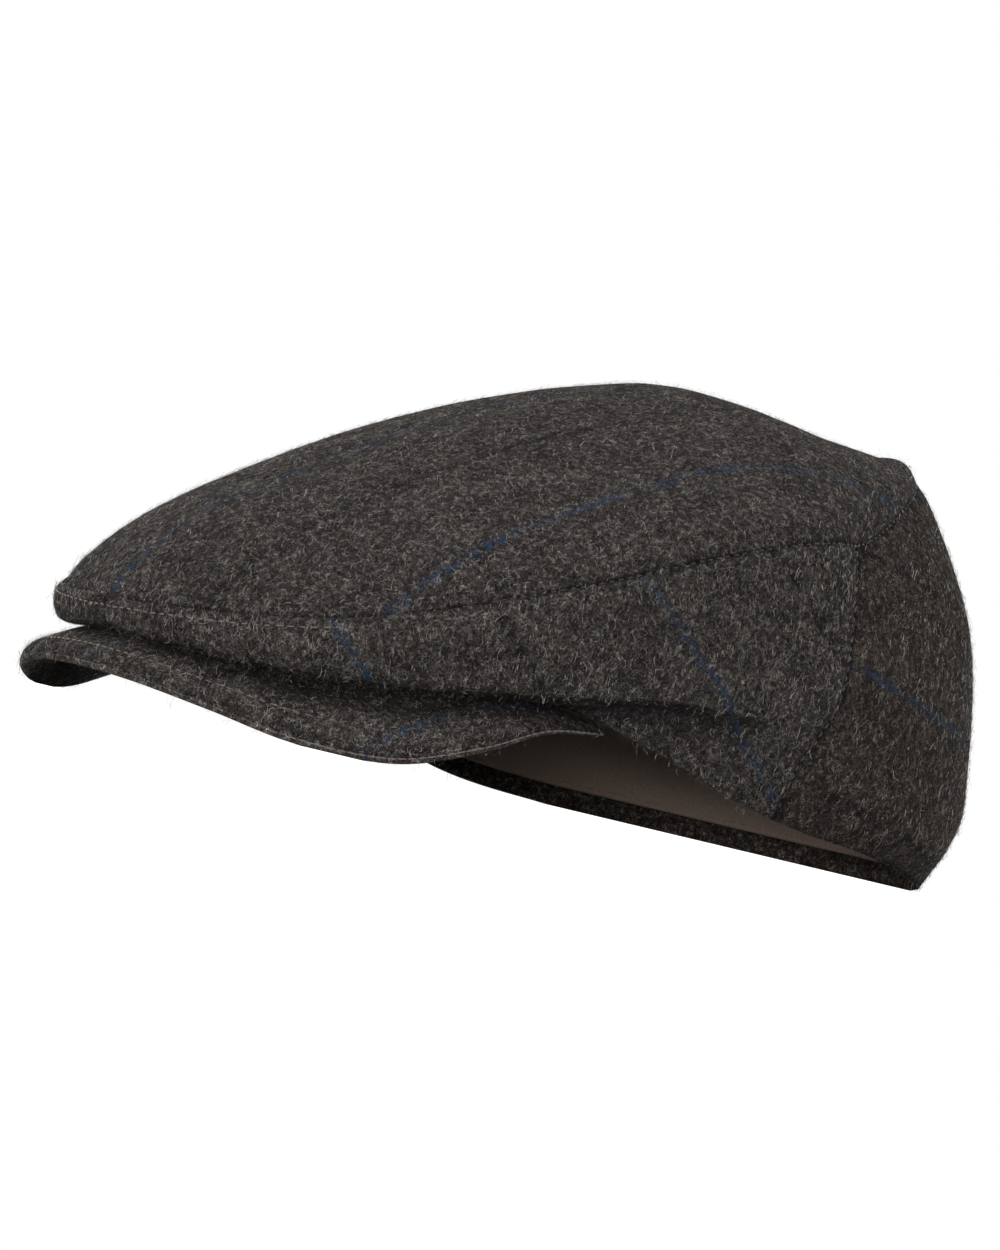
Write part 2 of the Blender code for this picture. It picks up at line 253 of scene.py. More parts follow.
# %% The crown's surface
def crown(angle, level):
    """Points of the crown's outside, measured from the head's axis."""
    reach, height = sections(angle)
    far_reach, far_height = sections(angle + math.pi)
    reach = np.concatenate([reach, np.zeros((len(angle), 1)), -far_reach[:, -1:]], axis=1)
    pole = np.full((len(angle), 1), POLE_HEIGHT * CROWN_HEIGHT)
    height = np.concatenate([height, pole, far_height[:, -1:]], axis=1)
    profile = np.stack([reach, height], -1)
    slopes = np.gradient(profile, axis=1)
    index = np.clip(np.floor(level).astype(int), 0, profile.shape[1] - 2)
    row = np.arange(len(angle))
    here, above = (row, index), (row, index + 1)
    point = between((level - index)[:, None], profile[here], slopes[here], profile[above], slopes[above])
    return placed(angle, point[:, 0], point[:, 1])


Lie = namedtuple("Lie", "normal up around")


def crown_lie(angle, level):
    """Outward normals, and how many metres a unit of level and a radian of angle cover."""
    up = (crown(angle, level + SMALL_STEP) - crown(angle, level - SMALL_STEP)) / (2 * SMALL_STEP)
    around = (crown(angle + SMALL_STEP, level) - crown(angle - SMALL_STEP, level)) / (2 * SMALL_STEP)
    turned = angle + math.pi / 2
    quarter = crown(turned, level + SMALL_STEP) - crown(turned, level - SMALL_STEP)
    sideways = np.where((level > POLE - POLE_ZONE)[:, None], -quarter, around)
    normal = np.cross(sideways, up)
    normal /= np.linalg.norm(normal, axis=1)[:, None]
    return Lie(normal, np.linalg.norm(up, axis=1), np.linalg.norm(around, axis=1))


print("rim height at the front, mm:", round(rim_height(np.zeros(1))[0] / MM, 1))

# %% [markdown]
# ## The peak as a second surface
#
# The peak is a stiff board between two covers. Its inner edge follows the front of the rim, its
# outer edge is a curve through a short table, and the sheet between them is bowed. The crown's
# overhang lies on it, so the crown has to know how high its top is at any place.

# %% The peak's surface
def peak_half(across):
    """Half of the peak's thickness, which thins towards the ends; across runs from -1 at the right
    end to 1 at the left."""
    thinned = eased(np.clip((np.abs(across) - PEAK_THINS_FROM) / (1 - PEAK_THINS_FROM), 0, 1))
    return GAP / 2 + PEAK_COVER * (1 - (1 - PEAK_END_SHARE) * thinned)


def peak_inner(across):
    """Middle of the peak's thickness along the rim, which it is sewn under."""
    angle = across * math.radians(PEAK_ANGLE)
    return placed(angle, rim_reach(angle) - CLOTH, rim_height(angle) - GAP - peak_half(across))


def peak_edge(across):
    """Middle of the peak's thickness along its outer edge."""
    stations = np.linspace(0, 1, len(PEAK_EDGE) + 1)
    left = np.array(PEAK_EDGE) * np.array([PEAK_SIDE, -PEAK_FRONT, RIM_RISE])
    left[:, 2] += peak_half(stations[:-1])
    left = np.concatenate([left, peak_inner(stations[-1:])])
    right = left[:0:-1] * np.array([-1, 1, 1])
    points = np.concatenate([right, left])
    return smooth_through(np.linspace(-1, 1, len(points)), points, across)


def peak_sheet(across, out, above):
    """Points of the peak: out runs from 0 under the rim to 1 at the edge, and above is the height
    over the middle of its thickness."""
    inner = peak_inner(across)
    outer = peak_edge(across)
    points = inner + (outer - inner) * out[:, None]
    width = np.linalg.norm(outer - inner, axis=1)
    bow = PEAK_BOW * np.minimum(width / (PEAK_FRONT - HEAD_LENGTH / 2), 1)
    points[:, 2] += bow * 4 * out * (1 - out) + above
    return points


# %% How high the peak's top is
peak_along, peak_outward = PEAK_SAMPLES
peak_across, peak_out = np.meshgrid(np.linspace(-1, 1, peak_along), np.linspace(0, 1, peak_outward))
PEAK_TOP = peak_sheet(peak_across.ravel(), peak_out.ravel(), peak_half(peak_across.ravel()))


def peak_top(x, y):
    """Height of the peak's top at places in plan, and how far each place is from the peak."""
    distance = np.hypot(PEAK_TOP[None, :, 0] - x[:, None], PEAK_TOP[None, :, 1] - y[:, None])
    nearest = np.argpartition(distance, NEAREST_SAMPLES, axis=1)[:, :NEAREST_SAMPLES]
    picked = np.take_along_axis(distance, nearest, axis=1)
    weights = 1 / (picked + SAME_PLACE)
    return (PEAK_TOP[nearest, 2] * weights).sum(axis=1) / weights.sum(axis=1), picked.min(axis=1)


print("places on the peak's top:", len(PEAK_TOP))

# %% [markdown]
# ## Cloth that is never quite flat
#
# Steam-pressed wool still rolls a little. Two layers of smooth noise lift and sink the surface by
# parts of a millimetre. They are read from the place in space, so neighbouring panels that share a
# seam move together.

# %% Ease in the cloth
BROAD_EASE, BROAD_SIZE = 0.55 * MM, 30 * MM
SMALL_EASE, SMALL_SIZE = 0.16 * MM, 8 * MM


def ease(points, amount):
    shift = np.empty(len(points))
    for number, point in enumerate(points):
        place = Vector(point)
        broad = BROAD_EASE * noise.noise(place / BROAD_SIZE)
        shift[number] = broad + SMALL_EASE * noise.noise(place / SMALL_SIZE)
    return shift * amount


def fade(distance, reach):
    """1 at no distance, a third at the reach, and next to nothing at twice the reach."""
    return np.exp(-(distance / reach) ** 2)


def rounded(distance, radius):
    """Share of the full thickness at a distance from a rounded end: 0 at the end, 1 past the radius."""
    return np.sqrt(1 - np.clip(1 - distance / radius, 0, 1) ** 2)


def rolled(distance, radius):
    """How far an edge of that radius has turned in at a distance from its end."""
    return radius * (1 - rounded(distance, radius))


def crowded(place, crowding):
    """Moves even places between -1 and 1 towards both ends, where the edges need more rows."""
    return place + crowding * np.sin(math.pi * place) / math.pi


def crowded_thrice(place, crowding):
    """The same, with finer rows at the middle as well."""
    return place - crowding * np.sin(2 * math.pi * place) / (2 * math.pi)


print("the cloth rolls by up to", round((BROAD_EASE + SMALL_EASE) / MM, 2), "mm")

# %% [markdown]
# ## A sheet with two faces
#
# One builder makes every cloth piece. It starts from a flat grid, keeps each point's place on the
# grid as an attribute, and extrudes it once for the second face. Then it asks the piece's own
# function for the outside and the inside. The UV map is written in metres of cloth, which is what
# the stripes need. Two attributes go along for the shader and the fibres: one marks the outer face,
# and one says how much each point is darkened: by a seam's own dark line, and by painted shade in
# the seams' valleys, under the side fold and under the crown's lip.

# %% Cloth builder
Wall = namedtuple("Wall", "outside inside cut_from crease")


def triangle_count(mesh):
    return sum(len(polygon.vertices) - 2 for polygon in mesh.polygons)


def fill_walls(shape, wall, inner, layers, cloth_uv):
    """Moves a doubled grid's points on to a piece's two faces and writes their attributes."""
    vertices = list(shape.verts)
    places = np.array([vertex[layers["place"]] for vertex in vertices])
    cloth = wall(places[:, 0], places[:, 1])
    for number, vertex in enumerate(vertices):
        is_inner = vertex in inner
        vertex.co = cloth.inside[number] if is_inner else cloth.outside[number]
        vertex.co.y += HEAD_AXIS
        vertex[layers["outside"]] = 0.0 if is_inner else 1.0
        vertex[layers["crease"]] = cloth.crease[number]
        vertex[layers["cloth_place"]] = (*cloth.cut_from[number], 0.0)
    for face in shape.faces:
        for loop in face.loops:
            loop[cloth_uv].uv = loop.vert[layers["cloth_place"]].xy


def cloth_piece(name, columns, rows, wall, material, slot, closed=False):
    shape = bmesh.new()
    layers = {label: shape.verts.layers.float_vector.new(label) for label in ("place", "cloth_place")}
    layers |= {label: shape.verts.layers.float.new(label) for label in ("outside", "crease")}
    cloth_uv = shape.loops.layers.uv.new("cloth")
    bmesh.ops.create_grid(shape, x_segments=columns, y_segments=rows, size=1.0)
    for vertex in shape.verts:
        vertex[layers["place"]] = vertex.co
    extruded = bmesh.ops.extrude_face_region(shape, geom=shape.faces[:])
    inner = {item for item in extruded["geom"] if isinstance(item, bmesh.types.BMVert)}
    fill_walls(shape, wall, inner, layers, cloth_uv)
    if closed:
        place = layers["place"]
        ends = [face for face in shape.faces if all(abs(v[place].x) > 1 - SAME_PLACE for v in face.verts)]
        bmesh.ops.delete(shape, geom=ends, context="FACES_ONLY")
        bmesh.ops.remove_doubles(shape, verts=shape.verts[:], dist=SAME_PLACE)
    bmesh.ops.recalc_face_normals(shape, faces=shape.faces[:])
    mesh = bpy.data.meshes.new(name)
    shape.to_mesh(mesh)
    shape.free()
    mesh.shade_smooth()
    mesh.materials.append(material)
    piece = bpy.data.objects.new(name, mesh)
    bpy.context.scene.collection.objects.link(piece)
    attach(piece, "root")
    print(f"{name}: {triangle_count(mesh)} triangles")
    return piece


# %% [markdown]
# ## Wiring nodes
#
# Shaders and Geometry Nodes are trees of the same kind, so one helper adds a node to either: it sets
# the node's own choices first, because they decide which sockets it has, and then fills the sockets
# with links or plain values. The other helpers name what is used again and again.

# %% Node helpers
MM_PER_METRE = (1000.0, 1000.0, 1000.0)


def wired(tree, kind, inputs=(), **choices):
    node = tree.nodes.new(kind)
    for key, value in choices.items():
        setattr(node, key, value)
    for key, value in dict(inputs).items():
        if isinstance(value, bpy.types.NodeSocket):
            tree.links.new(value, node.inputs[key])
        else:
            node.inputs[key].default_value = value
    return node


def math_node(tree, operation, first, second, clamp=False):
    inputs = {0: first, 1: second}
    return wired(tree, "ShaderNodeMath", inputs, operation=operation, use_clamp=clamp).outputs[0]


def times(tree, first, second):
    return math_node(tree, "MULTIPLY", first, second)


def less(tree, first, second):
    return math_node(tree, "SUBTRACT", first, second)


def graded(tree, value, slope, base):
    """A straight line: base where the value is 0, and base and slope together where it is 1."""
    return math_node(tree, "ADD", times(tree, value, slope), base)


def vector_node(tree, operation, inputs, output="Vector"):
    return wired(tree, "ShaderNodeVectorMath", inputs, operation=operation).outputs[output]


def stretch(tree, vector, scale):
    return vector_node(tree, "MULTIPLY", {0: vector, 1: scale})


def scaled(tree, vector, by):
    return vector_node(tree, "SCALE", {0: vector, "Scale": by})


def noise_value(tree, vector, scale, detail=2.0, roughness=0.5):
    inputs = {"Vector": vector, "Scale": scale, "Detail": detail, "Roughness": roughness}
    return wired(tree, "ShaderNodeTexNoise", inputs).outputs["Fac"]


def rise(tree, value, low, high):
    """0 below low, 1 above high."""
    inputs = {"Value": value, "From Min": low, "From Max": high}
    return wired(tree, "ShaderNodeMapRange", inputs, interpolation_type="SMOOTHSTEP").outputs["Result"]


def blend_colours(tree, factor, first, second):
    inputs = {"Factor": factor, "A": first, "B": second}
    return wired(tree, "ShaderNodeMix", inputs, data_type="RGBA").outputs["Result"]


def attribute(tree, name):
    return wired(tree, "ShaderNodeAttribute", attribute_name=name).outputs["Fac"]


# %% Groups and materials
def new_group(name, inputs, outputs):
    """A shader group, with its inputs to read from and its outputs to fill."""
    tree = bpy.data.node_groups.new(name, "ShaderNodeTree")
    for label, kind, value in inputs:
        socket = tree.interface.new_socket(label, in_out="INPUT", socket_type=kind)
        if value is not None:
            socket.default_value = value
    for label, kind in outputs:
        tree.interface.new_socket(label, in_out="OUTPUT", socket_type=kind)
    return tree, tree.nodes.new("NodeGroupInput").outputs, tree.nodes.new("NodeGroupOutput").inputs


def new_material(name, roughness, specular):
    material = bpy.data.materials.new(name)
    material.use_nodes = True
    tree = material.node_tree
    shader = tree.nodes["Principled BSDF"]
    shader.inputs["Roughness"].default_value = roughness
    shader.inputs["Specular IOR Level"].default_value = specular
    return material, tree, shader.inputs


def object_place(tree):
    return wired(tree, "ShaderNodeTexCoord").outputs["Object"]


def cloth_uv_place(tree):
    return wired(tree, "ShaderNodeUVMap", uv_map="cloth").outputs["UV"]


def add_relief(tree, shader_inputs, height, strength, depth):
    relief = wired(tree, "ShaderNodeBump", {"Strength": strength, "Distance": depth, "Height": height})
    tree.links.new(relief.outputs["Normal"], shader_inputs["Normal"])


# %% [markdown]
# ## Tweed as a shader
#
# The yarn is spun from wool in several colours, so no two millimetres are alike. The effect is a
# node group, because six panels share it: fine streaks in two directions stand for the brushed
# fibres, thin lines of a bent cell pattern for the pale ones that curl on top, a coarser noise for
# the yarn, and a broad one for the uneven dye. It puts out a colour and a height for the bump.

# %% Wool melange group
melange, wools, melange_out = new_group(
    "wool melange",
    (
        ("Place", "NodeSocketVector", None),
        ("Ground", "NodeSocketColor", (0.0030, 0.0026, 0.0025, 1.0)),
        ("Grey Wool", "NodeSocketColor", (0.050, 0.0465, 0.0440, 1.0)),
        ("Brown Wool", "NodeSocketColor", (0.034, 0.0235, 0.0190, 1.0)),
        ("Fleck", "NodeSocketColor", (0.270, 0.246, 0.226, 1.0)),
    ),
    (("Color", "NodeSocketColor"), ("Height", "NodeSocketFloat")),
)
in_mm = stretch(melange, wools["Place"], MM_PER_METRE)


def bent_by(tree, vector, scale, amount):
    """The place pushed about by noise, so that what is read there curls."""
    push = wired(tree, "ShaderNodeTexNoise", {"Vector": vector, "Scale": scale, "Detail": 2.0})
    inputs = {0: push.outputs["Color"], 1: (amount, amount, amount), 2: vector}
    return vector_node(tree, "MULTIPLY_ADD", inputs)


def fibre_lines(tree, vector, cells_per_mm, width):
    """Thin lines of a cell pattern: 1 on a line, 0 away from it."""
    inputs = {"Scale": cells_per_mm, "Vector": vector}
    cells = wired(tree, "ShaderNodeTexVoronoi", inputs, feature="DISTANCE_TO_EDGE")
    return less(tree, 1.0, rise(tree, cells.outputs["Distance"], 0.0, width))


# %% Brushed streaks and spun wool
LENGTHWISE = (6.0, 1.5, 3.2)
CROSSWISE = (1.5, 5.6, 4.2)
STREAK_SHARE = 0.55

bent = bent_by(melange, in_mm, scale=1.4, amount=0.7)
lengthwise = noise_value(melange, stretch(melange, bent, LENGTHWISE), 1.0, detail=3.0, roughness=0.65)
crosswise = noise_value(melange, stretch(melange, bent, CROSSWISE), 1.0, detail=3.0, roughness=0.65)
which_way = rise(melange, noise_value(melange, in_mm, 0.8, detail=1.0), 0.44, 0.56)
one_way = times(melange, lengthwise, which_way)
other_way = times(melange, crosswise, less(melange, 1.0, which_way))
streaks = math_node(melange, "ADD", one_way, other_way)
yarn = noise_value(melange, in_mm, 1.5, detail=3.0, roughness=0.62)
yarn_share = times(melange, yarn, 1 - STREAK_SHARE)
body = math_node(melange, "ADD", times(melange, streaks, STREAK_SHARE), yarn_share)
wool = rise(melange, body, 0.40, 0.66)
brown_share = rise(melange, noise_value(melange, in_mm, 0.7, detail=3.0, roughness=0.6), 0.42, 0.62)
wool_colour = blend_colours(melange, brown_share, wools["Grey Wool"], wools["Brown Wool"])
spun = blend_colours(melange, wool, wools["Ground"], wool_colour)

# %% Pale fibres and uneven dye
FLECK_SHOWS = 0.8
FLECK_HEIGHT = 0.25
DYE_LIGHT, DYE_DARK = 0.6, 0.7

curled = bent_by(melange, in_mm, scale=0.8, amount=2.4)
long_lines = fibre_lines(melange, curled, cells_per_mm=0.70, width=0.034)
short_lines = fibre_lines(melange, bent, cells_per_mm=1.15, width=0.045)
tangle = math_node(melange, "MAXIMUM", long_lines, short_lines)
loose_there = rise(melange, noise_value(melange, in_mm, 0.6, detail=3.0, roughness=0.6), 0.46, 0.64)
bright = times(melange, tangle, loose_there)
flecked = blend_colours(melange, times(melange, bright, FLECK_SHOWS), spun, wools["Fleck"])
dye = rise(melange, noise_value(melange, in_mm, 0.16, detail=4.0, roughness=0.62), 0.32, 0.68)
uneven = scaled(melange, flecked, graded(melange, dye, DYE_LIGHT, DYE_DARK))
height = math_node(melange, "ADD", body, times(melange, bright, FLECK_HEIGHT))
melange.links.new(uneven, melange_out["Color"])
melange.links.new(height, melange_out["Height"])
print("wool melange nodes:", len(melange.nodes))

# %% [markdown]
# ## Stripes woven in
#
# Every 33 mm or so a few coloured yarns run through the cloth, blue and near black in turn. The
# brushed fibres cover them in places, so they come and go. The group reads how far across the
# stripes a point lies and gives two masks.

# %% Woven stripe group
STRIPE_PERIOD = 67 * MM
STRIPE_WIDTH = 2.0 * MM
STRIPE_WAVER = 2.6 * MM
STRIPE_WORN = 0.3

stripes, bolt, stripes_out = new_group(
    "woven stripes",
    (
        ("Cloth", "NodeSocketVector", None),
        ("Period", "NodeSocketFloat", STRIPE_PERIOD),
        ("Width", "NodeSocketFloat", STRIPE_WIDTH),
    ),
    (("Blue", "NodeSocketFloat"), ("Dark", "NodeSocketFloat")),
)
cloth_mm = stretch(stripes, bolt["Cloth"], MM_PER_METRE)
split = wired(stripes, "ShaderNodeSeparateXYZ", {0: bolt["Cloth"]})
off_line = less(stripes, noise_value(stripes, cloth_mm, 1.3, detail=3.0), 0.5)
across_stripes = math_node(stripes, "ADD", split.outputs["X"], times(stripes, off_line, STRIPE_WAVER))
turns = math_node(stripes, "DIVIDE", across_stripes, bolt["Period"])
cover = noise_value(stripes, stretch(stripes, cloth_mm, (1.0, 0.55, 1.0)), 0.85, detail=3.0, roughness=0.6)
shown = rise(stripes, noise_value(stripes, cloth_mm, 0.11), 0.36, 0.54)
worn = graded(stripes, shown, 1 - STRIPE_WORN, STRIPE_WORN)
Stripe = namedtuple("Stripe", "label offset low high")
for stripe in (Stripe("Blue", 0.5, 0.40, 0.60), Stripe("Dark", 0.0, 0.34, 0.60)):
    phase = math_node(stripes, "FRACT", math_node(stripes, "ADD", turns, stripe.offset), 0.0)
    off_centre = math_node(stripes, "ABSOLUTE", less(stripes, phase, 0.5), 0.0)
    widths_off = math_node(stripes, "DIVIDE", times(stripes, off_centre, bolt["Period"]), bolt["Width"])
    nearness = math_node(stripes, "SUBTRACT", 1.0, widths_off, clamp=True)
    soft = times(stripes, rise(stripes, nearness, 0.0, 0.7), worn)
    mask = times(stripes, soft, rise(stripes, cover, stripe.low, stripe.high))
    stripes.links.new(mask, stripes_out[stripe.label])
print("woven stripes nodes:", len(stripes.nodes))

# %% [markdown]
# ## The tweed itself
#
# The material lays the stripes over the wool, then darkens the marked places in short beads: along
# the seams this is partly the seam's own dark line and partly painted shade in the valley, and under
# the side fold and the crown's lip it is painted shade. The inner face gets painted light, and each
# panel's colours are scaled by a share of its own, as painted light and shade.

# %% Tweed material
BLUE_YARN = (0.014, 0.034, 0.068, 1.0)
BLUE_IN_SHADE = 0.25
DARK_YARN_AND_SHADE = (0.0025, 0.0023, 0.0028, 1.0)
BLUE_SHOWS = 0.85
DARK_SHOWS = 0.75
CREASE_BEADS = 620.0
BEADS_SHARE = 0.4
CREASE_DARK = 0.9
INSIDE_PAINTED_LIGHT = 1.2
BUMP = 0.8
BUMP_DEPTH = 0.5 * MM


def tweed_material(name, painted_light_and_shade=(1.0, 1.0, 1.0)):
    """The share of each colour kept for the panel, which is painted light and shade."""
    material, tree, shader = new_material(name, roughness=0.95, specular=0.04)
    place = object_place(tree)
    yarns = wired(tree, "ShaderNodeGroup", {"Place": place}, node_tree=melange)
    woven = wired(tree, "ShaderNodeGroup", {"Cloth": cloth_uv_place(tree)}, node_tree=stripes)
    for label in ("Ground", "Grey Wool", "Brown Wool", "Fleck"):
        wool = yarns.inputs[label]
        wool.default_value = [*(part * share for part, share in zip(wool.default_value, painted_light_and_shade)), 1.0]
    lit_yarn = rise(tree, yarns.outputs["Height"], 0.36, 0.66)
    shaded_blue = tuple(BLUE_IN_SHADE * part for part in BLUE_YARN[:3]) + (1.0,)
    blue_wool = blend_colours(tree, lit_yarn, shaded_blue, BLUE_YARN)
    blue = times(tree, woven.outputs["Blue"], BLUE_SHOWS)
    striped = blend_colours(tree, blue, yarns.outputs["Color"], blue_wool)
    striped = blend_colours(tree, times(tree, woven.outputs["Dark"], DARK_SHOWS), striped, DARK_YARN_AND_SHADE)
    # Painted shade, in beads: the seam lines with the shade in their valleys, and the shade under the side
    # fold and the crown's lip.
    beads = rise(tree, noise_value(tree, place, CREASE_BEADS, detail=1.0), 0.36, 0.56)
    beaded = graded(tree, beads, BEADS_SHARE, 1 - BEADS_SHARE)
    darkened = times(tree, times(tree, attribute(tree, "crease"), beaded), CREASE_DARK)
    creased = blend_colours(tree, darkened, striped, DARK_YARN_AND_SHADE)
    # Painted light: the inner faces are made lighter than the outer ones.
    inner = less(tree, 1.0, attribute(tree, "outside"))
    tree.links.new(scaled(tree, creased, graded(tree, inner, INSIDE_PAINTED_LIGHT, 1.0)), shader["Base Color"])
    add_relief(tree, shader, yarns.outputs["Height"], BUMP, BUMP_DEPTH)
    return material


# Painted light and shade per panel: the crown a little darker, the back darker and warmer, the peak's
# underside lighter.
crown_tweed = tweed_material("crown_tweed", (0.91, 0.905, 0.91))
back_tweed = tweed_material("back_tweed", (0.80, 0.75, 0.71))
peak_tweed = tweed_material("peak_tweed")
under_tweed = tweed_material("under_tweed", (1.6, 1.6, 1.55))
print("tweed materials:", crown_tweed.name, back_tweed.name, peak_tweed.name, under_tweed.name)

# %% [markdown]
# ## The fold along the side
#
# In front the crown's lip hangs over the peak. Behind the peak it runs on along the side as a fold:
# the cloth stands out over a line and falls in below it. The fold is written as a push outwards that
# depends on the height over the lip, and it grows and fades with the angle round the head.

# %% Side fold
FOLD_DEPTH = 1.8 * MM
FOLD_BELOW = 6.0 * MM
FOLD_ABOVE = 4.0 * MM
FOLD_OUT_SHARE = 0.4
FOLD_STEP = 0.35 * MM
FOLD_SHADE = 7.5 * MM
FOLD_DARK = 0.95
FOLD_FROM, FOLD_FULL, FOLD_FADES, FOLD_TO = 30.0, 52.0, 72.0, 93.0


def side_fold(angle, height):
    """How far the sides stand out over the line where the peak's lip runs on, or in below it, and how
    much painted shade each place gets below the line and along it."""
    degrees = np.abs(from_front(angle))
    strength = eased(np.interp(degrees, (FOLD_FROM, FOLD_FULL, FOLD_FADES, FOLD_TO), (0, 1, 1, 0)))
    above = height - sections(angle)[1][:, LIP]
    step = np.tanh(above / FOLD_STEP)
    push = np.where(step > 0, FOLD_OUT_SHARE * fade(above, FOLD_ABOVE), fade(above, FOLD_BELOW))
    # Painted shade: wide below the fold's line, thin along it.
    shaded = fade(above, np.where(above < 0, FOLD_SHADE, FOLD_STEP))
    return FOLD_DEPTH * strength * step * push, FOLD_DARK * strength * shaded


print("fold in the side, mm:", FOLD_DEPTH / MM)

# %% [markdown]
# ## The crown's panels
#
# Where two panels are sewn together the cloth turns in, and the seam shows as a dark line in a
# shallow valley; the line is painted into the colour, partly as the seam's own dark line and partly
# as painted shade in the valley. Each panel's outside is rolled in along its edges, and the rim is
# rolled from both faces, because there the cloth is folded into a hem. The crown's underside rests
# on the peak.

# %% Panel surfaces
SEAM_ROLL = 1.1 * MM
SEAM_VALLEY = 0.78 * MM
SEAM_VALLEY_REACH = 4.0 * MM
HEM_ROLL = CLOTH / 2
SEAM_SPACE = 0.25 * MM
SEAM_CREASE = 1.0 * MM
SEAM_HIDDEN_TO, SEAM_SHOWS_FROM = 32.0, 50.0
SEAM_HIDDEN = 0.25
EASE_GROWS = 0.8
HALF_SPACE = SEAM_SPACE / 2 / CROWN_SIDE


def over_peak(points, angle, level):
    """Heights of the crown's points, with the overhang's underside lifted clear of the peak."""
    height = points[:, 2]
    low = np.flatnonzero((level < BELLY) & (np.cos(angle) > 0))
    if len(low):
        top, distance = peak_top(points[low, 0], points[low, 1])
        lifted = np.maximum(height[low], top + PEAK_CLEARANCE)
        height[low] = np.where(distance < CLOTH, lifted, height[low])
    return height


def crown_cloth(angle, level, cut_from, seam_distances):
    """The crown's cloth as a wall; the distances are from each place to the seams near it."""
    outside = crown(angle, level)
    lie = crown_lie(angle, level)
    # The fold's painted shade starts the darkening mark.
    fold, crease = side_fold(angle, outside[:, 2])
    outside[:, 2] = over_peak(outside, angle, level)
    amount = np.clip((level - LIP) / EASE_GROWS, 0, 1)
    outside = outside + lie.normal * ease(outside, amount)[:, None]
    outside = outside + placed(angle, fold, np.zeros_like(angle))
    turned = rolled(level * lie.up, HEM_ROLL)
    inside = outside + lie.normal * (turned - CLOTH)[:, None]
    seam_shows = np.interp(np.abs(from_front(angle)), (SEAM_HIDDEN_TO, SEAM_SHOWS_FROM), (SEAM_HIDDEN, 1))
    for distance in seam_distances:
        valley = SEAM_VALLEY * fade(distance, SEAM_VALLEY_REACH)
        turned = np.maximum(turned, rolled(distance, SEAM_ROLL)) + valley
        # The seam's line: partly its own dark colour, partly painted shade in the valley.
        crease = np.maximum(crease, seam_shows * fade(distance, SEAM_CREASE))
        inside = inside - lie.normal * valley[:, None]
    outside = outside - lie.normal * turned[:, None]
    at_rim = (level <= SAME_PLACE) & (np.cos(angle) < 0)
    for face in (outside, inside):
        face[:, 2] = np.where(at_rim, rim_height(angle), face[:, 2])
    return Wall(outside, inside, cut_from, crease)


def rear_seam(share):
    return np.radians(REAR_SEAM[0] + (REAR_SEAM[1] - REAR_SEAM[0]) * share ** 3)


print("cloth in the crown, mm:", CLOTH / MM, "seam valley, mm:", SEAM_VALLEY / MM)

# %% [markdown]
# Stripes run from front to back over the top and the peak, slant down the sides and lie across the
# back, because each panel is cut from the cloth in its own direction. Each panel's function also
# returns where on the bolt of cloth its points were cut from. Rows are crowded where the cloth
# turns: at the rim, the fold and the seams.

# %% Side panels
SIDE_SLANT = math.radians(37.0)
SIDE_STRIPE_AT = 14 * MM
SIDE_FRONT_EASE = 0.86
SIDE_GRID = (170, 72)
ROWS_CROWDED, COLUMNS_CROWDED = 0.75, 0.8


def side_wall(side):
    """side is 1 for the wearer's left and -1 for the right."""
    def wall(along, up):
        share = (crowded_thrice(up, ROWS_CROWDED) + 1) / 2
        level = share * (SEAM - SAME_PLACE)
        seam_angle = rear_seam(share)
        angle = HALF_SPACE + (seam_angle - 2 * HALF_SPACE) * (crowded(along, COLUMNS_CROWDED) + 1) / 2
        lie = crown_lie(angle, level)
        to_top = (SEAM - level) * lie.up + SEAM_SPACE / 2
        to_side = np.minimum(seam_angle - angle, angle) * lie.around
        back_way = (angle - math.pi / 2) * crown_oval(angle)
        height = crown(angle, level)[:, 2]
        across = math.sin(SIDE_SLANT) * back_way + math.cos(SIDE_SLANT) * height - SIDE_STRIPE_AT
        across = np.where(across < 0, across * SIDE_FRONT_EASE, across)
        lengthwise = math.cos(SIDE_SLANT) * back_way - math.sin(SIDE_SLANT) * height
        cut_from = np.stack([across, lengthwise * side], -1)
        return crown_cloth(side * angle, level, cut_from, (to_side, to_top))
    return wall


left_side = cloth_piece("left_side_cloth", *SIDE_GRID, side_wall(1), crown_tweed, "tweed")
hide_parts("side_panel_left")
right_side = cloth_piece("right_side_cloth", *SIDE_GRID, side_wall(-1), crown_tweed, "tweed")
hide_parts("side_panel_right")

# %% Back panel
BACK_BOW = 17 * MM
BACK_STRIPE_AT = 55 * MM
BACK_SLANT = 0.45
BACK_GRID = (176, 72)
BACK_CROWDED = 0.8


def back_wall(along, up):
    share = (crowded(up, BACK_CROWDED) + 1) / 2
    level = share * (SEAM - SAME_PLACE)
    seam_angle = rear_seam(share)
    first = seam_angle + HALF_SPACE
    angle = first + (2 * math.pi - 2 * first) * (crowded(along, BACK_CROWDED) + 1) / 2
    lie = crown_lie(angle, level)
    to_top = (SEAM - level) * lie.up + SEAM_SPACE / 2
    to_side = np.minimum(angle - seam_angle, 2 * math.pi - seam_angle - angle) * lie.around
    from_middle = (angle - math.pi) / (math.pi - first)
    height = crown(angle, level)[:, 2] * np.hypot(1.0, BACK_SLANT * share)
    across = height + BACK_BOW * (1 - from_middle ** 2) - BACK_STRIPE_AT
    cut_from = np.stack([across, (angle - math.pi) * CROWN_SIDE], -1)
    return crown_cloth(angle, level, cut_from, (to_side, to_top))


back = cloth_piece("back_cloth", *BACK_GRID, back_wall, back_tweed, "tweed")
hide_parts("back_panel")

# %% [markdown]
# The top panel is round, so a grid can't run round its pole without a pinch. Here a square grid is
# bent to fill it: each ring of the square becomes a level, and the place along the ring an angle.

# %% Top panel
TOP_GRID = (140, 140)
TOP_CROWDED = 0.7
TOP_STRETCH = 1.2
SEAM_ZONE = 0.5
FAR_FROM_SEAM = 1.0


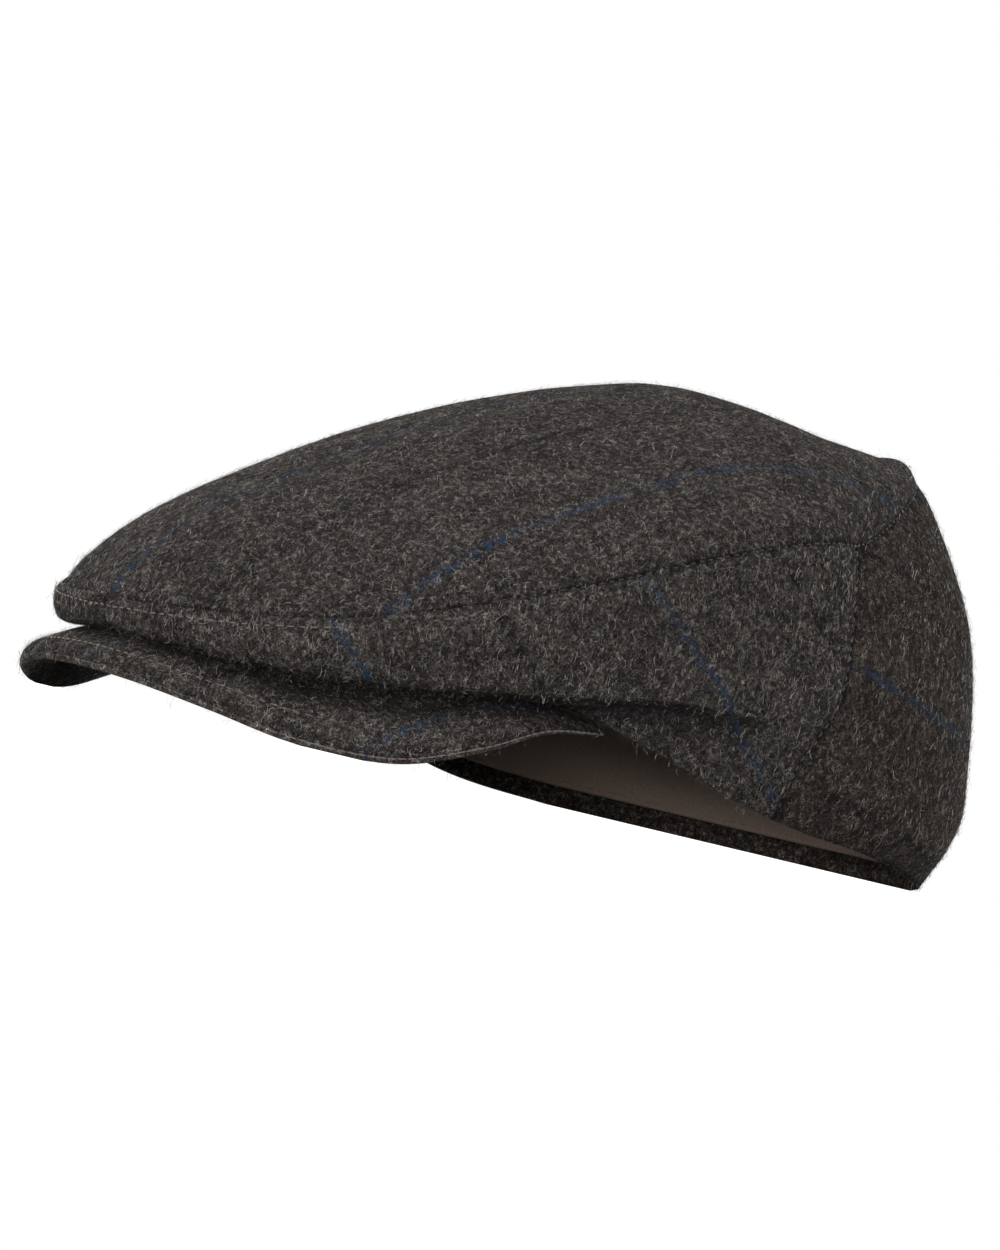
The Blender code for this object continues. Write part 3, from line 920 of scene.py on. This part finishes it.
def top_wall(across, along):
    across = crowded(across, TOP_CROWDED)
    along = crowded(along, TOP_CROWDED)
    wide = np.abs(across) > np.abs(along)
    ring = np.where(wide, np.abs(across), np.abs(along))
    with np.errstate(divide="ignore", invalid="ignore"):
        up_the_side = math.pi / 4 * np.nan_to_num(along / across)
        along_the_end = math.pi / 4 * np.nan_to_num(across / along)
    from_side = np.where(across > 0, 0.0, math.pi) + up_the_side
    from_end = np.where(along > 0, 1.0, -1.0) * math.pi / 2 - along_the_end
    angle = np.where(wide, from_side, from_end) + math.pi / 2
    level = POLE - ring * (POLE - SEAM) + SAME_PLACE
    lie = crown_lie(angle, level)
    to_seam = np.where(ring > SEAM_ZONE, (level - SEAM) * lie.up, FAR_FROM_SEAM) + SEAM_SPACE / 2
    flat = crown(angle, level)
    cut_from = np.stack([flat[:, 0], flat[:, 1] * TOP_STRETCH], -1)
    return crown_cloth(angle, level, cut_from, (to_seam,))


top = cloth_piece("top_cloth", *TOP_GRID, top_wall, crown_tweed, "tweed")
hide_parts("top_panel")

# %% [markdown]
# ## The peak's covers
#
# Both covers wrap round the edge of the board and meet in a seam at its middle. In section each is
# half of a rounded end, so the edge looks padded, with a fine groove where the two are sewn, and a
# dark line is painted along it. The top cover gets painted shade where the crown's lip lies close
# over it.

# %% Peak covers
PEAK_GRID = (170, 44)
PEAK_CROWDED = 0.6
EDGE_CROWDING = 1.7
PEAK_EDGE_ROUND = 3.0 * MM
PEAK_END_RUN = 90 * MM
PEAK_END_ROUND = 9 * MM
END_FULLNESS = 0.4
EDGE_FULLNESS = 0.1
PEAK_SEAM_GAP = 0.2 * MM
PEAK_EASE_RUN = 10 * MM
PEAK_EASE = 0.6
PEAK_STRIPE_SHIFT = 8 * MM
PEAK_CREASE = 0.3
LIP_SHADE = 0.6
LIP_SHADE_REACH = 2.5 * MM


def peak_wall(face):
    """face is 1 for the top cover and -1 for the under cover."""
    def wall(across_grid, outward):
        across = crowded(across_grid, PEAK_CROWDED)
        out = 1 - ((1 - outward) / 2) ** EDGE_CROWDING
        reach = np.linalg.norm(peak_edge(across) - peak_inner(across), axis=1)
        from_edge = (1 - out) * reach
        at_end = rounded((1 - np.abs(across)) * PEAK_END_RUN, PEAK_END_ROUND)
        fullness = rounded(from_edge, PEAK_EDGE_ROUND) * (END_FULLNESS + (1 - END_FULLNESS) * at_end)
        seam = PEAK_SEAM_GAP / 2
        thick = (peak_half(across) - seam) * (EDGE_FULLNESS + (1 - EDGE_FULLNESS) * fullness)
        shell = peak_sheet(across, out, face * (seam + thick))
        core = peak_sheet(across, out, np.full_like(out, face * seam))
        shell[:, 2] += ease(shell, np.clip(from_edge / PEAK_EASE_RUN, 0, PEAK_EASE))
        cut_from = np.stack([shell[:, 0] - PEAK_STRIPE_SHIFT, shell[:, 1]], -1)
        # A dark line along the edge seam's groove, partly the seam's own colour and partly painted shade.
        crease = PEAK_CREASE * fade(from_edge, SEAM_CREASE)
        if face > 0:
            # Painted shade on the top cover where the crown's lip lies over it.
            lip_reach = sections(np.arctan2(shell[:, 0], -shell[:, 1]))[0][:, LIP]
            past_lip = np.maximum(np.hypot(shell[:, 0], shell[:, 1]) - lip_reach, 0)
            crease = np.maximum(crease, LIP_SHADE * fade(past_lip, LIP_SHADE_REACH))
        return Wall(shell, core, cut_from, crease)
    return wall


peak_cover = cloth_piece("peak_cover_cloth", *PEAK_GRID, peak_wall(1), peak_tweed, "tweed")
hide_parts("peak_top_cover")
peak_lining = cloth_piece("peak_under_cloth", *PEAK_GRID, peak_wall(-1), under_tweed, "tweed")
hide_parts("peak_under_cover")

# %% [markdown]
# ## The sweatband
#
# A strip of smooth brown cotton stands inside the rim. It is thin and slightly slack, so it waves a
# little at its upper edge. Its weave is too fine to count from here, but it still scatters light, so
# the shader gives it fine crossed threads.

# %% Cotton
BAND_DARK = (0.180, 0.142, 0.116, 1.0)
BAND_LIGHT = (0.260, 0.205, 0.169, 1.0)
WARP = (900.0, 4200.0, 1.0)
WEFT = (4200.0, 900.0, 1.0)


def band_material():
    material, tree, shader = new_material("sweatband_cotton", roughness=0.88, specular=0.2)
    cloth = cloth_uv_place(tree)
    warp = noise_value(tree, stretch(tree, cloth, WARP), 1.0)
    weft = noise_value(tree, stretch(tree, cloth, WEFT), 1.0)
    weave = times(tree, math_node(tree, "ADD", warp, weft), 0.5)
    colour = blend_colours(tree, rise(tree, weave, 0.35, 0.65), BAND_DARK, BAND_LIGHT)
    tree.links.new(colour, shader["Base Color"])
    add_relief(tree, shader, weave, strength=0.25, depth=0.1 * MM)
    return material


# %% Sweatband
BAND_GRID = (240, 20)
BAND_CROWDED = 0.7
BAND_WAVE = 0.35 * MM
LONG_WAVES, SHORT_WAVES = 4, 9


def band_wall(turn, up):
    angle = turn * math.pi
    share = (crowded(up, BAND_CROWDED) + 1) / 2
    height = share * BAND_HEIGHT
    slack = BAND_WAVE * share * np.sin(SHORT_WAVES * angle) * np.sin(LONG_WAVES * angle + 1.0)
    lean = height * BAND_LEAN + BAND_WAVE + slack
    base = rim_height(angle) + HEM_HEIGHT + height
    edge = rolled(np.minimum(height, BAND_HEIGHT - height), BAND_THICKNESS / 2)
    outside = placed(angle, head_reach(angle, BAND_THICKNESS) - lean - edge, base)
    inside = placed(angle, head_reach(angle, 0.0) - lean + edge, base)
    return Wall(outside, inside, np.stack([angle * HEAD_LENGTH / 2, height], -1), np.zeros_like(angle))


band = cloth_piece("sweatband_cloth", *BAND_GRID, band_wall, band_material(), "band_cloth", closed=True)
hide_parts("sweatband")

# %% [markdown]
# ## Stitches
#
# A stitch is a short plump dash of thread, half sunk in the cloth. They repeat along a curve, which
# is what Geometry Nodes are for: one tree takes a curve, drops a dash at every step and turns it
# along the curve. The curve itself is read from the crown's own function, so it lies on the seam.

# %% Trees that make meshes
def geometry_tree(name, inputs):
    """A Geometry Nodes tree, its inputs to read from, and the identifiers to set them by."""
    tree = bpy.data.node_groups.new(name, "GeometryNodeTree")
    identifiers = {}
    for label, kind in (("Geometry", "NodeSocketGeometry"), *inputs):
        identifiers[label] = tree.interface.new_socket(label, in_out="INPUT", socket_type=kind).identifier
    tree.interface.new_socket("Geometry", in_out="OUTPUT", socket_type="NodeSocketGeometry")
    return tree, tree.nodes.new("NodeGroupInput").outputs, identifiers


def end_tree(tree, geometry, material):
    dress = wired(tree, "GeometryNodeSetMaterial", {"Geometry": geometry, "Material": material})
    tree.links.new(dress.outputs["Geometry"], tree.nodes.new("NodeGroupOutput").inputs["Geometry"])


def realized(tree, instances):
    return wired(tree, "GeometryNodeRealizeInstances", {"Geometry": instances}).outputs["Geometry"]


def grown(name, base, tree, identifiers, values):
    """Runs a tree on an object and keeps the result as a plain mesh object of its own."""
    modifier = base.modifiers.new(name, "NODES")
    modifier.node_group = tree
    for label, value in values.items():
        modifier[identifiers[label]] = value
    evaluated = base.evaluated_get(bpy.context.evaluated_depsgraph_get())
    mesh = bpy.data.meshes.new_from_object(evaluated)
    mesh.name = name
    base.modifiers.remove(modifier)
    piece = bpy.data.objects.new(name, mesh)
    bpy.context.scene.collection.objects.link(piece)
    print(f"{name}: {triangle_count(mesh)} triangles")
    return piece


# %% Stitch tree
stitch_tree, sewing, stitch_ids = geometry_tree(
    "row of stitches",
    (("Step", "NodeSocketFloat"), ("Length", "NodeSocketFloat"), ("Thickness", "NodeSocketFloat"),
     ("Thread", "NodeSocketMaterial")),
)
row_inputs = {"Curve": sewing["Geometry"], "Length": sewing["Step"]}
stitch_places = wired(stitch_tree, "GeometryNodeCurveToPoints", row_inputs, mode="LENGTH").outputs
dash = wired(stitch_tree, "GeometryNodeMeshUVSphere", {"Segments": 8, "Rings": 6, "Radius": 0.5})
dash_size = {"X": sewing["Thickness"], "Y": sewing["Thickness"], "Z": sewing["Length"]}
dashes = wired(stitch_tree, "GeometryNodeInstanceOnPoints", {
    "Points": stitch_places["Points"],
    "Rotation": stitch_places["Rotation"],
    "Instance": dash.outputs["Mesh"],
    "Scale": wired(stitch_tree, "ShaderNodeCombineXYZ", dash_size).outputs["Vector"],
})
end_tree(stitch_tree, realized(stitch_tree, dashes.outputs["Instances"]), sewing["Thread"])
print("stitch tree nodes:", len(stitch_tree.nodes))


# %% Threads
def thread_material(name, colour):
    material, tree, shader = new_material(name, roughness=0.7, specular=0.5)
    shader["Sheen Weight"].default_value = 0.2
    twist = noise_value(tree, object_place(tree), 2600.0)
    darker = tuple(channel * 0.5 for channel in colour[:3]) + (1.0,)
    tree.links.new(blend_colours(tree, rise(tree, twist, 0.35, 0.65), darker, colour), shader["Base Color"])
    return material


brown_thread = thread_material("brown_thread", (0.082, 0.056, 0.049, 1.0))
band_thread = thread_material("band_thread", (0.360, 0.170, 0.115, 1.0))
seam_thread = thread_material("seam_thread", (0.010, 0.009, 0.009, 1.0))

Sewing = namedtuple("Sewing", "step length thickness thread slot")
TOPSTITCH = Sewing(2.9 * MM, 1.7 * MM, 0.36 * MM, brown_thread, "tweed")
SEAM_BEADS = Sewing(2.5 * MM, 1.7 * MM, 1.0 * MM, seam_thread, "tweed")
FOLD_STITCH = Sewing(2.9 * MM, 1.8 * MM, 0.40 * MM, brown_thread, "tweed")
EDGE_STITCH = Sewing(2.4 * MM, 2.2 * MM, 0.34 * MM, brown_thread, "tweed")
BAND_STITCH = Sewing(3.4 * MM, 2.3 * MM, 0.5 * MM, band_thread, "band_cloth")


def stitch_row(name, points, sewn):
    curve = bpy.data.curves.new(name + "_path", "CURVE")
    curve.dimensions = "3D"
    spline = curve.splines.new("POLY")
    spline.points.add(len(points) - 1)
    for number, point in enumerate(points):
        spline.points[number].co = (point[0], point[1] + HEAD_AXIS, point[2], 1.0)
    path = bpy.data.objects.new(name + "_path", curve)
    bpy.context.scene.collection.objects.link(path)
    values = {"Step": sewn.step, "Length": sewn.length, "Thickness": sewn.thickness, "Thread": sewn.thread}
    piece = grown(name, path, stitch_tree, stitch_ids, values)
    bpy.data.objects.remove(path)
    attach(piece, "root")


# %% Rows beside the top seam
TOPSTITCH_FROM_SEAM = 3.7 * MM
TOPSTITCH_ANGLE = math.radians(50.0)
SUNK = 0.17 * MM
BURIED, BURIED_RUN = 0.50 * MM, 7 * MM
LEVEL_STEPS = 61
LEVEL_SPAN = 1.2


def level_beside(angle, level, distance):
    """Level at a distance along the cloth above a level, or below it where the distance is negative."""
    levels = np.linspace(level - LEVEL_SPAN, level + LEVEL_SPAN, LEVEL_STEPS)
    found = []
    for one in angle:
        line = crown(np.full(LEVEL_STEPS, one), levels)
        length = np.concatenate([[0], np.cumsum(np.linalg.norm(np.diff(line, axis=0), axis=1))])
        found.append(np.interp(length[LEVEL_STEPS // 2] + distance, length, levels))
    return np.array(found)


def on_crown(angle, level):
    """Places where thread lies on the crown, sinking into the wool here and there."""
    place = crown(angle, level)
    valley = SEAM_VALLEY * fade(TOPSTITCH_FROM_SEAM, SEAM_VALLEY_REACH)
    buried = BURIED * np.array([noise.noise(Vector(point) / BURIED_RUN) for point in place])
    depth = ease(place, 1.0) - valley - SUNK + buried
    return place + crown_lie(angle, level).normal * depth[:, None]


seam_angle = np.linspace(-TOPSTITCH_ANGLE, TOPSTITCH_ANGLE, 120)
for name, side in (("stitches_above_seam", 1), ("stitches_below_seam", -1)):
    level = level_beside(seam_angle, float(SEAM), side * TOPSTITCH_FROM_SEAM)
    stitch_row(name, on_crown(seam_angle, level), TOPSTITCH)

# %% Beads in the seams
SEAM_BEAD_DEPTH = 0.75 * MM
BEADS_FROM = 42.0


def in_seam(angle, level):
    """Places of the thread that draws two panels together, just under the cloth."""
    place = crown(angle, level)
    depth = ease(place, 1.0) - SEAM_VALLEY - SEAM_BEAD_DEPTH
    return place + crown_lie(angle, level).normal * depth[:, None]


round_back = np.radians(np.linspace(BEADS_FROM, 360 - BEADS_FROM, 330))
stitch_row("top_seam_stitches", in_seam(round_back, np.full_like(round_back, float(SEAM))), SEAM_BEADS)
up_seam = np.linspace(0.06, 0.98, 80)
for name, side in (("left_seam_stitches", 1), ("right_seam_stitches", -1)):
    stitch_row(name, in_seam(side * rear_seam(up_seam), up_seam * SEAM), SEAM_BEADS)

# %% Rows on the peak and the sweatband
FOLD_ROW_REACH = 1.5 * MM
FOLD_ROW_ACROSS = 0.55
FOLD_ROW_STEPS = 60
EDGE_ROW = (0.42, 0.97)
EDGE_ROW_OUT = 1.002
BAND_ROW_OUT = 0.1 * MM
BAND_ROW_HEIGHT = 1.6 * MM

row_points = []
for one in np.linspace(-FOLD_ROW_ACROSS, FOLD_ROW_ACROSS, 90):
    across = np.full(FOLD_ROW_STEPS, one)
    line = peak_sheet(across, np.linspace(0, 1, FOLD_ROW_STEPS), peak_half(across))
    past_crown = np.hypot(line[:, 0], line[:, 1]) - crown_oval(np.arctan2(line[:, 0], -line[:, 1]))
    row_points.append([np.interp(FOLD_ROW_REACH, past_crown, line[:, axis]) for axis in range(3)])
stitch_row("stitches_under_fold", row_points, FOLD_STITCH)

for name, side in (("left_peak_edge_stitches", 1), ("right_peak_edge_stitches", -1)):
    across = side * np.linspace(*EDGE_ROW, 90)
    edge = peak_sheet(across, np.full_like(across, EDGE_ROW_OUT), np.zeros_like(across))
    stitch_row(name, edge, EDGE_STITCH)

band_angle = np.linspace(-math.pi, math.pi, 240)
band_reach = head_reach(band_angle, 0.0) - BAND_WAVE - BAND_ROW_OUT
band_line = placed(band_angle, band_reach, rim_height(band_angle) + HEM_HEIGHT + BAND_ROW_HEIGHT)
stitch_row("sweatband_stitches", band_line, BAND_STITCH)

# %% [markdown]
# ## Loose fibres
#
# Brushed wool has a haze of fibres that stand off the cloth, curl and catch the light. A particle
# system could grow them, but it would not survive an export. This tree scatters points over each
# panel's outside, away from its creases, sets a short line on every point, bends it with noise, and
# gives it the width of a thick wool fibre. The result is realized, so it is ordinary mesh.

# %% Fibre helpers
fibre_tree, fuzz_inputs, fibre_ids = geometry_tree(
    "loose wool fibres",
    (("Density", "NodeSocketFloat"), ("Length", "NodeSocketFloat"), ("Curl", "NodeSocketFloat"),
     ("Width", "NodeSocketFloat"), ("Seed", "NodeSocketInt"), ("Wool", "NodeSocketMaterial")),
)


def drawn(low, high, seed_step):
    """A random value between low and high for each fibre."""
    seed = math_node(fibre_tree, "ADD", fuzz_inputs["Seed"], seed_step)
    inputs = {2: low, 3: high, "Seed": seed}
    return wired(fibre_tree, "FunctionNodeRandomValue", inputs, data_type="FLOAT").outputs[1]


def read_mark(name, kind="FLOAT"):
    node = wired(fibre_tree, "GeometryNodeInputNamedAttribute", {"Name": name}, data_type=kind)
    return node.outputs["Attribute"]


def marked(points, name, value, kind="FLOAT"):
    inputs = {"Geometry": points, "Name": name, "Value": value}
    kept = wired(fibre_tree, "GeometryNodeStoreNamedAttribute", inputs, data_type=kind, domain="POINT")
    return kept.outputs["Geometry"]


def straight(start, end):
    return wired(fibre_tree, "GeometryNodeCurvePrimitiveLine", {"Start": start, "End": end}).outputs["Curve"]


# %% Short lines on the cloth
FIBRE_POINTS = 5
TILT = (-0.34, 0.05)
WIDTHS = (0.6, 1.5)
LENGTHS = (0.45, 1.35)
FULL_TURN = 6.2832
TURN_SEED, TILT_SEED, LENGTH_SEED, WIDTH_SEED = 23, 11, 37, 53

uncreased = less(fibre_tree, 1.0, read_mark("crease"))
grown_here = times(fibre_tree, read_mark("outside"), uncreased)
scatter = wired(fibre_tree, "GeometryNodeDistributePointsOnFaces", {
    "Mesh": fuzz_inputs["Geometry"],
    "Density": times(fibre_tree, fuzz_inputs["Density"], grown_here),
    "Seed": fuzz_inputs["Seed"],
}, distribute_method="RANDOM").outputs
lie = {"Y": drawn(*TILT, TILT_SEED), "Z": drawn(0.0, FULL_TURN, TURN_SEED)}
lie_vector = wired(fibre_tree, "ShaderNodeCombineXYZ", lie).outputs["Vector"]
turn = wired(fibre_tree, "FunctionNodeEulerToRotation", {"Euler": lie_vector}).outputs["Rotation"]
turn_inputs = {"Rotation": scatter["Rotation"], "Rotate By": turn}
turned = wired(fibre_tree, "FunctionNodeRotateRotation", turn_inputs, rotation_space="LOCAL")
fine_line = {"Curve": straight((0.0, 0.0, 0.0), (1.0, 0.0, 0.0)), "Count": FIBRE_POINTS}
with_normal = marked(scatter["Points"], "cloth_normal", scatter["Normal"], "FLOAT_VECTOR")
lines = wired(fibre_tree, "GeometryNodeInstanceOnPoints", {
    "Points": marked(with_normal, "fibre_radius", drawn(*WIDTHS, WIDTH_SEED)),
    "Instance": wired(fibre_tree, "GeometryNodeResampleCurve", fine_line).outputs["Curve"],
    "Rotation": turned.outputs["Rotation"],
    "Scale": times(fibre_tree, fuzz_inputs["Length"], drawn(*LENGTHS, LENGTH_SEED)),
}).outputs["Instances"]

# %% [markdown]
# The bend grows along each fibre. Most of what would push it off the cloth or into it is taken out
# again, so that the fibres curl over the surface and only a few stand up from it.

# %% Bent, widened and dressed
CURLS_PER_METRE = 430.0
HELD_FLAT = 0.80

curls = wired(fibre_tree, "ShaderNodeTexNoise", {"Scale": CURLS_PER_METRE, "Detail": 1.0}).outputs["Color"]
centred = vector_node(fibre_tree, "SUBTRACT", {0: curls, 1: (0.5, 0.5, 0.5)})
along = fibre_tree.nodes.new("GeometryNodeSplineParameter").outputs["Factor"]
bend = scaled(fibre_tree, centred, times(fibre_tree, fuzz_inputs["Curl"], along))
normal = read_mark("cloth_normal", "FLOAT_VECTOR")
off_cloth = vector_node(fibre_tree, "DOT_PRODUCT", {0: bend, 1: normal}, output="Value")
held = scaled(fibre_tree, normal, times(fibre_tree, off_cloth, HELD_FLAT))
in_plane = vector_node(fibre_tree, "SUBTRACT", {0: bend, 1: held})
move = {"Geometry": realized(fibre_tree, lines), "Offset": in_plane}
moved = wired(fibre_tree, "GeometryNodeSetPosition", move).outputs["Geometry"]
radius = read_mark("fibre_radius")
widened = wired(fibre_tree, "GeometryNodeSetCurveRadius", {"Curve": moved, "Radius": radius}).outputs["Curve"]
half_width = times(fibre_tree, fuzz_inputs["Width"], 0.5)
left_edge = wired(fibre_tree, "ShaderNodeCombineXYZ", {"X": times(fibre_tree, half_width, -1.0)})
right_edge = wired(fibre_tree, "ShaderNodeCombineXYZ", {"X": half_width})
ribbon = straight(left_edge.outputs["Vector"], right_edge.outputs["Vector"])
skin_inputs = {"Curve": widened, "Profile Curve": ribbon, "Scale": radius}
skin = wired(fibre_tree, "GeometryNodeCurveToMesh", skin_inputs)
end_tree(fibre_tree, skin.outputs["Mesh"], fuzz_inputs["Wool"])
print("fibre tree nodes:", len(fibre_tree.nodes))

# %% Fibres on each panel
FIBRE_WIDTH = 0.048 * MM
FIBRE_LENGTH = 2.8 * MM
FIBRE_CURL = 6.0 * MM
FIRST_SEED = 5
DARK_FIBRE = (0.016, 0.014, 0.013, 1.0)
PALE_FIBRE = (0.300, 0.274, 0.252, 1.0)


def wool_fibre_material():
    material, tree, shader = new_material("loose_wool", roughness=0.8, specular=0.2)
    which = rise(tree, noise_value(tree, object_place(tree), 700.0, detail=1.0), 0.42, 0.62)
    tree.links.new(blend_colours(tree, which, DARK_FIBRE, PALE_FIBRE), shader["Base Color"])
    return material


loose_wool = wool_fibre_material()
FIBRE_COUNTS = (
    (top, 20000),
    (left_side, 13000),
    (right_side, 13000),
    (back, 13000),
    (peak_cover, 8000),
    (peak_lining, 4000),
)
for number, (panel, count) in enumerate(FIBRE_COUNTS):
    outer_area = sum(polygon.area for polygon in panel.data.polygons) / 2
    fuzz = grown(panel.name.replace("_cloth", "_fibres"), panel, fibre_tree, fibre_ids, {
        "Density": count / outer_area,
        "Length": FIBRE_LENGTH,
        "Curl": FIBRE_CURL,
        "Width": FIBRE_WIDTH,
        "Seed": FIRST_SEED + number,
        "Wool": loose_wool,
    })
    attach(fuzz, "root")

# %% [markdown]
# ## Floor and light
#
# The floor is a pale disc that takes the cap's shadow, and the sky behind it is plain white. The
# light is soft: a wide panel overhead, a low and narrow one from the front that reaches in under the
# rim, and the even sky.

# %% Floor
FLOOR_RADIUS = 1.2
FLOOR_SIDES = 96
FLOOR_GREY = 0.85

floor_paint, floor_tree, floor_shader = new_material("pale_floor", roughness=1.0, specular=0.0)
floor_shader["Base Color"].default_value = (FLOOR_GREY, FLOOR_GREY, FLOOR_GREY, 1.0)
shape = bmesh.new()
bmesh.ops.create_circle(shape, cap_ends=True, segments=FLOOR_SIDES, radius=FLOOR_RADIUS)
floor_mesh = bpy.data.meshes.new("floor")
shape.to_mesh(floor_mesh)
shape.free()
floor_mesh.materials.append(floor_paint)
floor = bpy.data.objects.new("floor", floor_mesh)
bpy.context.scene.collection.objects.link(floor)
print("floor radius, m:", FLOOR_RADIUS)

# %% Light
LIT = Vector((0.0, 0.0, 0.05))
Lamp = namedtuple("Lamp", "name place width height watts")
LAMPS = (
    Lamp("overhead", (-0.1, -0.3, 1.9), 1.2, 1.2, 32.0),
    Lamp("low_front", (1.02, -1.14, 0.07), 0.9, 0.13, 15.0),
)
for lamp in LAMPS:
    data = bpy.data.lights.new(lamp.name, "AREA")
    data.shape = "RECTANGLE"
    data.size = lamp.width
    data.size_y = lamp.height
    data.energy = lamp.watts
    light = bpy.data.objects.new(lamp.name, data)
    light.location = lamp.place
    light.rotation_euler = (LIT - Vector(lamp.place)).to_track_quat("-Z", "Y").to_euler()
    bpy.context.scene.collection.objects.link(light)

world = bpy.data.worlds.new("even_sky")
world.use_nodes = True
sky = world.node_tree.nodes["Background"].inputs
sky["Color"].default_value = (1.0, 1.0, 1.0, 1.0)
sky["Strength"].default_value = 1.0
bpy.context.scene.world = world
bpy.context.scene.view_settings.view_transform = "Standard"
print("lamps:", [lamp.name for lamp in LAMPS])
